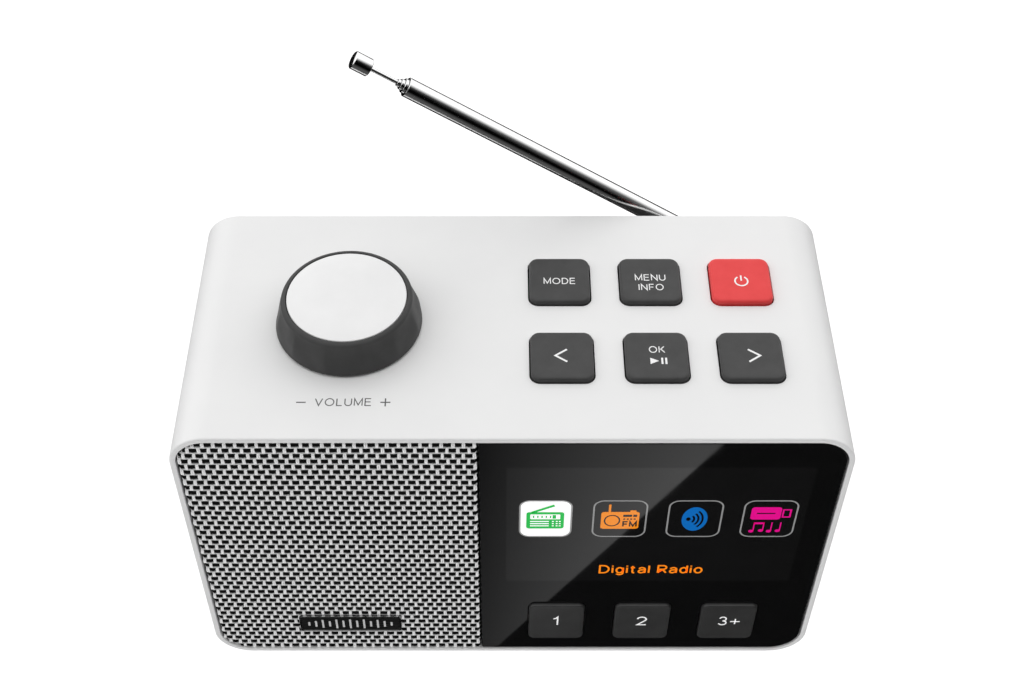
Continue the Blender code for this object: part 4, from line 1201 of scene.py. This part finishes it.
contact_gold = surface("contact_brass",
                       mottled((0.72, 0.55, 0.26, 1.0), (0.80, 0.62, 0.32, 1.0), grain(1 * MM)), 0.25,
                       Metallic=1.0)
for node, nozzle, bore in (("dc_inlet", 4.3, 3.1), ("headphone_jack", 3.6, 1.8), ("aux_jack", 3.6, 1.8)):
    start = (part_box(node)[0].y - panel_back) / MM
    shell = [(start, 0.0), (start, nozzle), (-0.2, nozzle), (0.0, nozzle - 0.2), (0.0, bore + 0.25),
             (-0.25, bore), (start + 3.0, bore), (start + 3.0, 0.0)]
    add_rows(node + "_shell", turned_back(node, shell), black_plastic, "root", "black_plastic", node,
             smooth=40.0)
    if node == "dc_inlet":
        pin = [(start + 3.0, 0.0), (start + 3.0, 1.0), (-1.3, 1.0), (-1.0, 0.7), (-1.0, 0.0)]
        add_rows("dc_inlet_pin", turned_back(node, pin, 24), contact_gold, "root", "brass")
    else:
        lining = [(-0.9, bore - 0.02), (-0.9, bore - 0.3), (-4.0, bore - 0.3), (-4.0, bore - 0.02)]
        add_rows(node + "_lining", turned_back(node, lining, 32), steel, "root", "plated_steel", closed=True)

headphones = [stroke(bend(0.0, 0.0, 1.5, 1.6, 0.0, 180.0, 14), 0.3),
              [loop_box(-1.95, -1.2, -1.15, 0.2, 0.25, 3)], [loop_box(1.15, -1.2, 1.95, 0.2, 0.25, 3)]]
for node, mesh, rise in (("dc_inlet", words("DC", 3.4, 1.7, 0.14), 6.0 * MM),
                         ("aux_jack", words("AUX", 4.8, 1.7, 0.14), 6.0 * MM),
                         ("headphone_jack", glyph(headphones), 7.0 * MM)):
    middle = middle_of(node)
    printed(node + "_legend", mesh, (middle.x, middle.z + rise), "back", ink_white, "root",
            "black_plastic", panel_back)

usb_low, usb_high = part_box("usb_socket")
USB_WALL = 1.0 * MM
usb_stations = ((0.0, usb_low.y), (0.0, panel_back - 0.15 * MM), (0.15 * MM, panel_back),
                (USB_WALL - 0.2 * MM, panel_back), (USB_WALL, panel_back - 0.3 * MM),
                (USB_WALL, usb_low.y + 3 * MM))
usb_rows = deep(framed(usb_low, usb_high, (0.5 * MM,) * 4, 0.5 * MM, 4), usb_stations)
add_rows("usb_shell", usb_rows, steel, "root", "plated_steel", "usb_socket", smooth=40.0)
tongue = prism(about(usb.x, usb.z + 1.15 * MM, 5.5 * MM, 0.85 * MM, 0.15 * MM, 3),
               (usb_low.y + 3 * MM, panel_back - 0.8 * MM))
add_rows("usb_tongue", tongue, black_plastic, "root", "black_plastic")
for number in range(4):
    x = usb.x + (number - 1.5) * 2.4 * MM
    strip = prism(about(x, usb.z + 0.24 * MM, 0.5 * MM, 0.06 * MM, 0.04 * MM, 2),
                  (usb_low.y + 4 * MM, panel_back - 1.2 * MM))
    add_rows(f"usb_contact_{number + 1}", strip, contact_gold, "root", "brass")


# ---------------------------------------------------------------- rear screws
# Four pan-head screws, zinc plated. Each head and shank is one turned part, and the cross is cut
# into the head with walls that lean in a little.

HEAD = ((-10.0, 0.0), (-10.0, 1.3), (0.3, 1.3), (0.3, 2.7), (0.6, 2.8), (1.05, 2.45), (1.35, 1.7),
        (1.48, 0.8), (1.5, 0.0))
CROSS_LONG = 1.5 * MM
CROSS_WIDE = 0.28 * MM
for node in SCREWS:
    name = node + "_cross"
    middle = middle_of(node)
    cross = []
    for long, wide in ((CROSS_LONG, CROSS_WIDE), (CROSS_WIDE, CROSS_LONG)):
        cross.append([[(middle.x + a * taper, y, middle.z + b * taper)
                       for a, b in ((long, -wide), (long, wide), (-long, wide), (-long, -wide))]
                      for y, taper in ((panel_back + 0.6 * MM, 0.75), (panel_back + 2.5 * MM, 1.0))])
    mesh = cut(name, rows_mesh(name, turned_back(node, HEAD, 40)), cross)
    add_piece(name, mesh, steel, "root", "plated_steel", node)


# ---------------------------------------------------------------- feet
# Four soft rubber pads pushed into the floor of the sleeve, each with a shallow ring in its sole.

rubber = surface("black_rubber", mottled(grey(26), grey(36), grain(1.2 * MM, 3.0)),
                 between(0.78, 0.9, grain(0.8 * MM, 2.0)), bump=(grain(0.2 * MM, 2.0), 0.4, 0.05 * MM))
FOOT = ((0.25, 0.0), (0.25, 3.0), (0.0, 3.3), (0.0, 5.2), (0.2, 5.7), (0.6, 6.0), (2.45, 6.0), (2.45, 0.0))
for node in ("foot_1", "foot_2", "foot_3", "foot_4"):
    middle = middle_of(node)
    rows = turned(Vector((middle.x, middle.y, 0.0)), (UP, RIGHT, rear), FOOT)
    add_rows(node + "_pad", rows, rubber, "root", "rubber", node, smooth=40.0)


# ---------------------------------------------------------------- inner parts
# The baffle, boards, display, loudspeaker and encoder keep their plain shapes inside the closed case,
# each in its own real finish: solder mask, pressed paper, plated steel, brass and aluminium.

board_green = surface("solder_mask", mottled((0.012, 0.075, 0.030, 1.0), (0.020, 0.105, 0.045, 1.0),
                                             grain(2.5 * MM, 3.0)), between(0.30, 0.45, grain(2 * MM, 2.0)))
cone_paper = surface("pressed_paper", mottled(grey(34), grey(50), grain(0.6 * MM, 4.0)), 0.9,
                     bump=(grain(0.3 * MM, 3.0), 0.5, 0.1 * MM))
aluminium = surface("extruded_aluminium",
                    mottled(grey(196), grey(214), grain(0.5 * MM, 3.0, (1.0, 0.05, 1.0))),
                    between(0.32, 0.45, grain(0.3 * MM, 3.0, (1.0, 0.05, 1.0))), Metallic=1.0)
brass = surface("turned_brass", mottled((0.66, 0.48, 0.20, 1.0), (0.74, 0.56, 0.26, 1.0), grain(0.8 * MM)),
                between(0.22, 0.34, grain(0.4 * MM, 3.0)), Metallic=1.0)
INNER = (
    (black_plastic, ("front_baffle", "grille_frame", "lcd_module", "capacitor")),
    (steel, ("lcd_bracket", "speaker_basket", "speaker_magnet", "speaker_screw_1", "speaker_screw_2",
             "speaker_screw_3", "speaker_screw_4", "tuner_can", "encoder_body")),
    (board_green, ("main_board", "front_key_board", "top_key_board")),
    (cone_paper, ("speaker_cone", "speaker_dust_cap")),
    (rubber, ("speaker_gasket",)),
    (aluminium, ("amplifier_heatsink", "encoder_shaft")),
    (brass, ("encoder_nut",)),
)
for material, names in INNER:
    for node in names:
        part = frame["nodes"][node]
        part.data.materials.clear()
        part.data.materials.append(material)
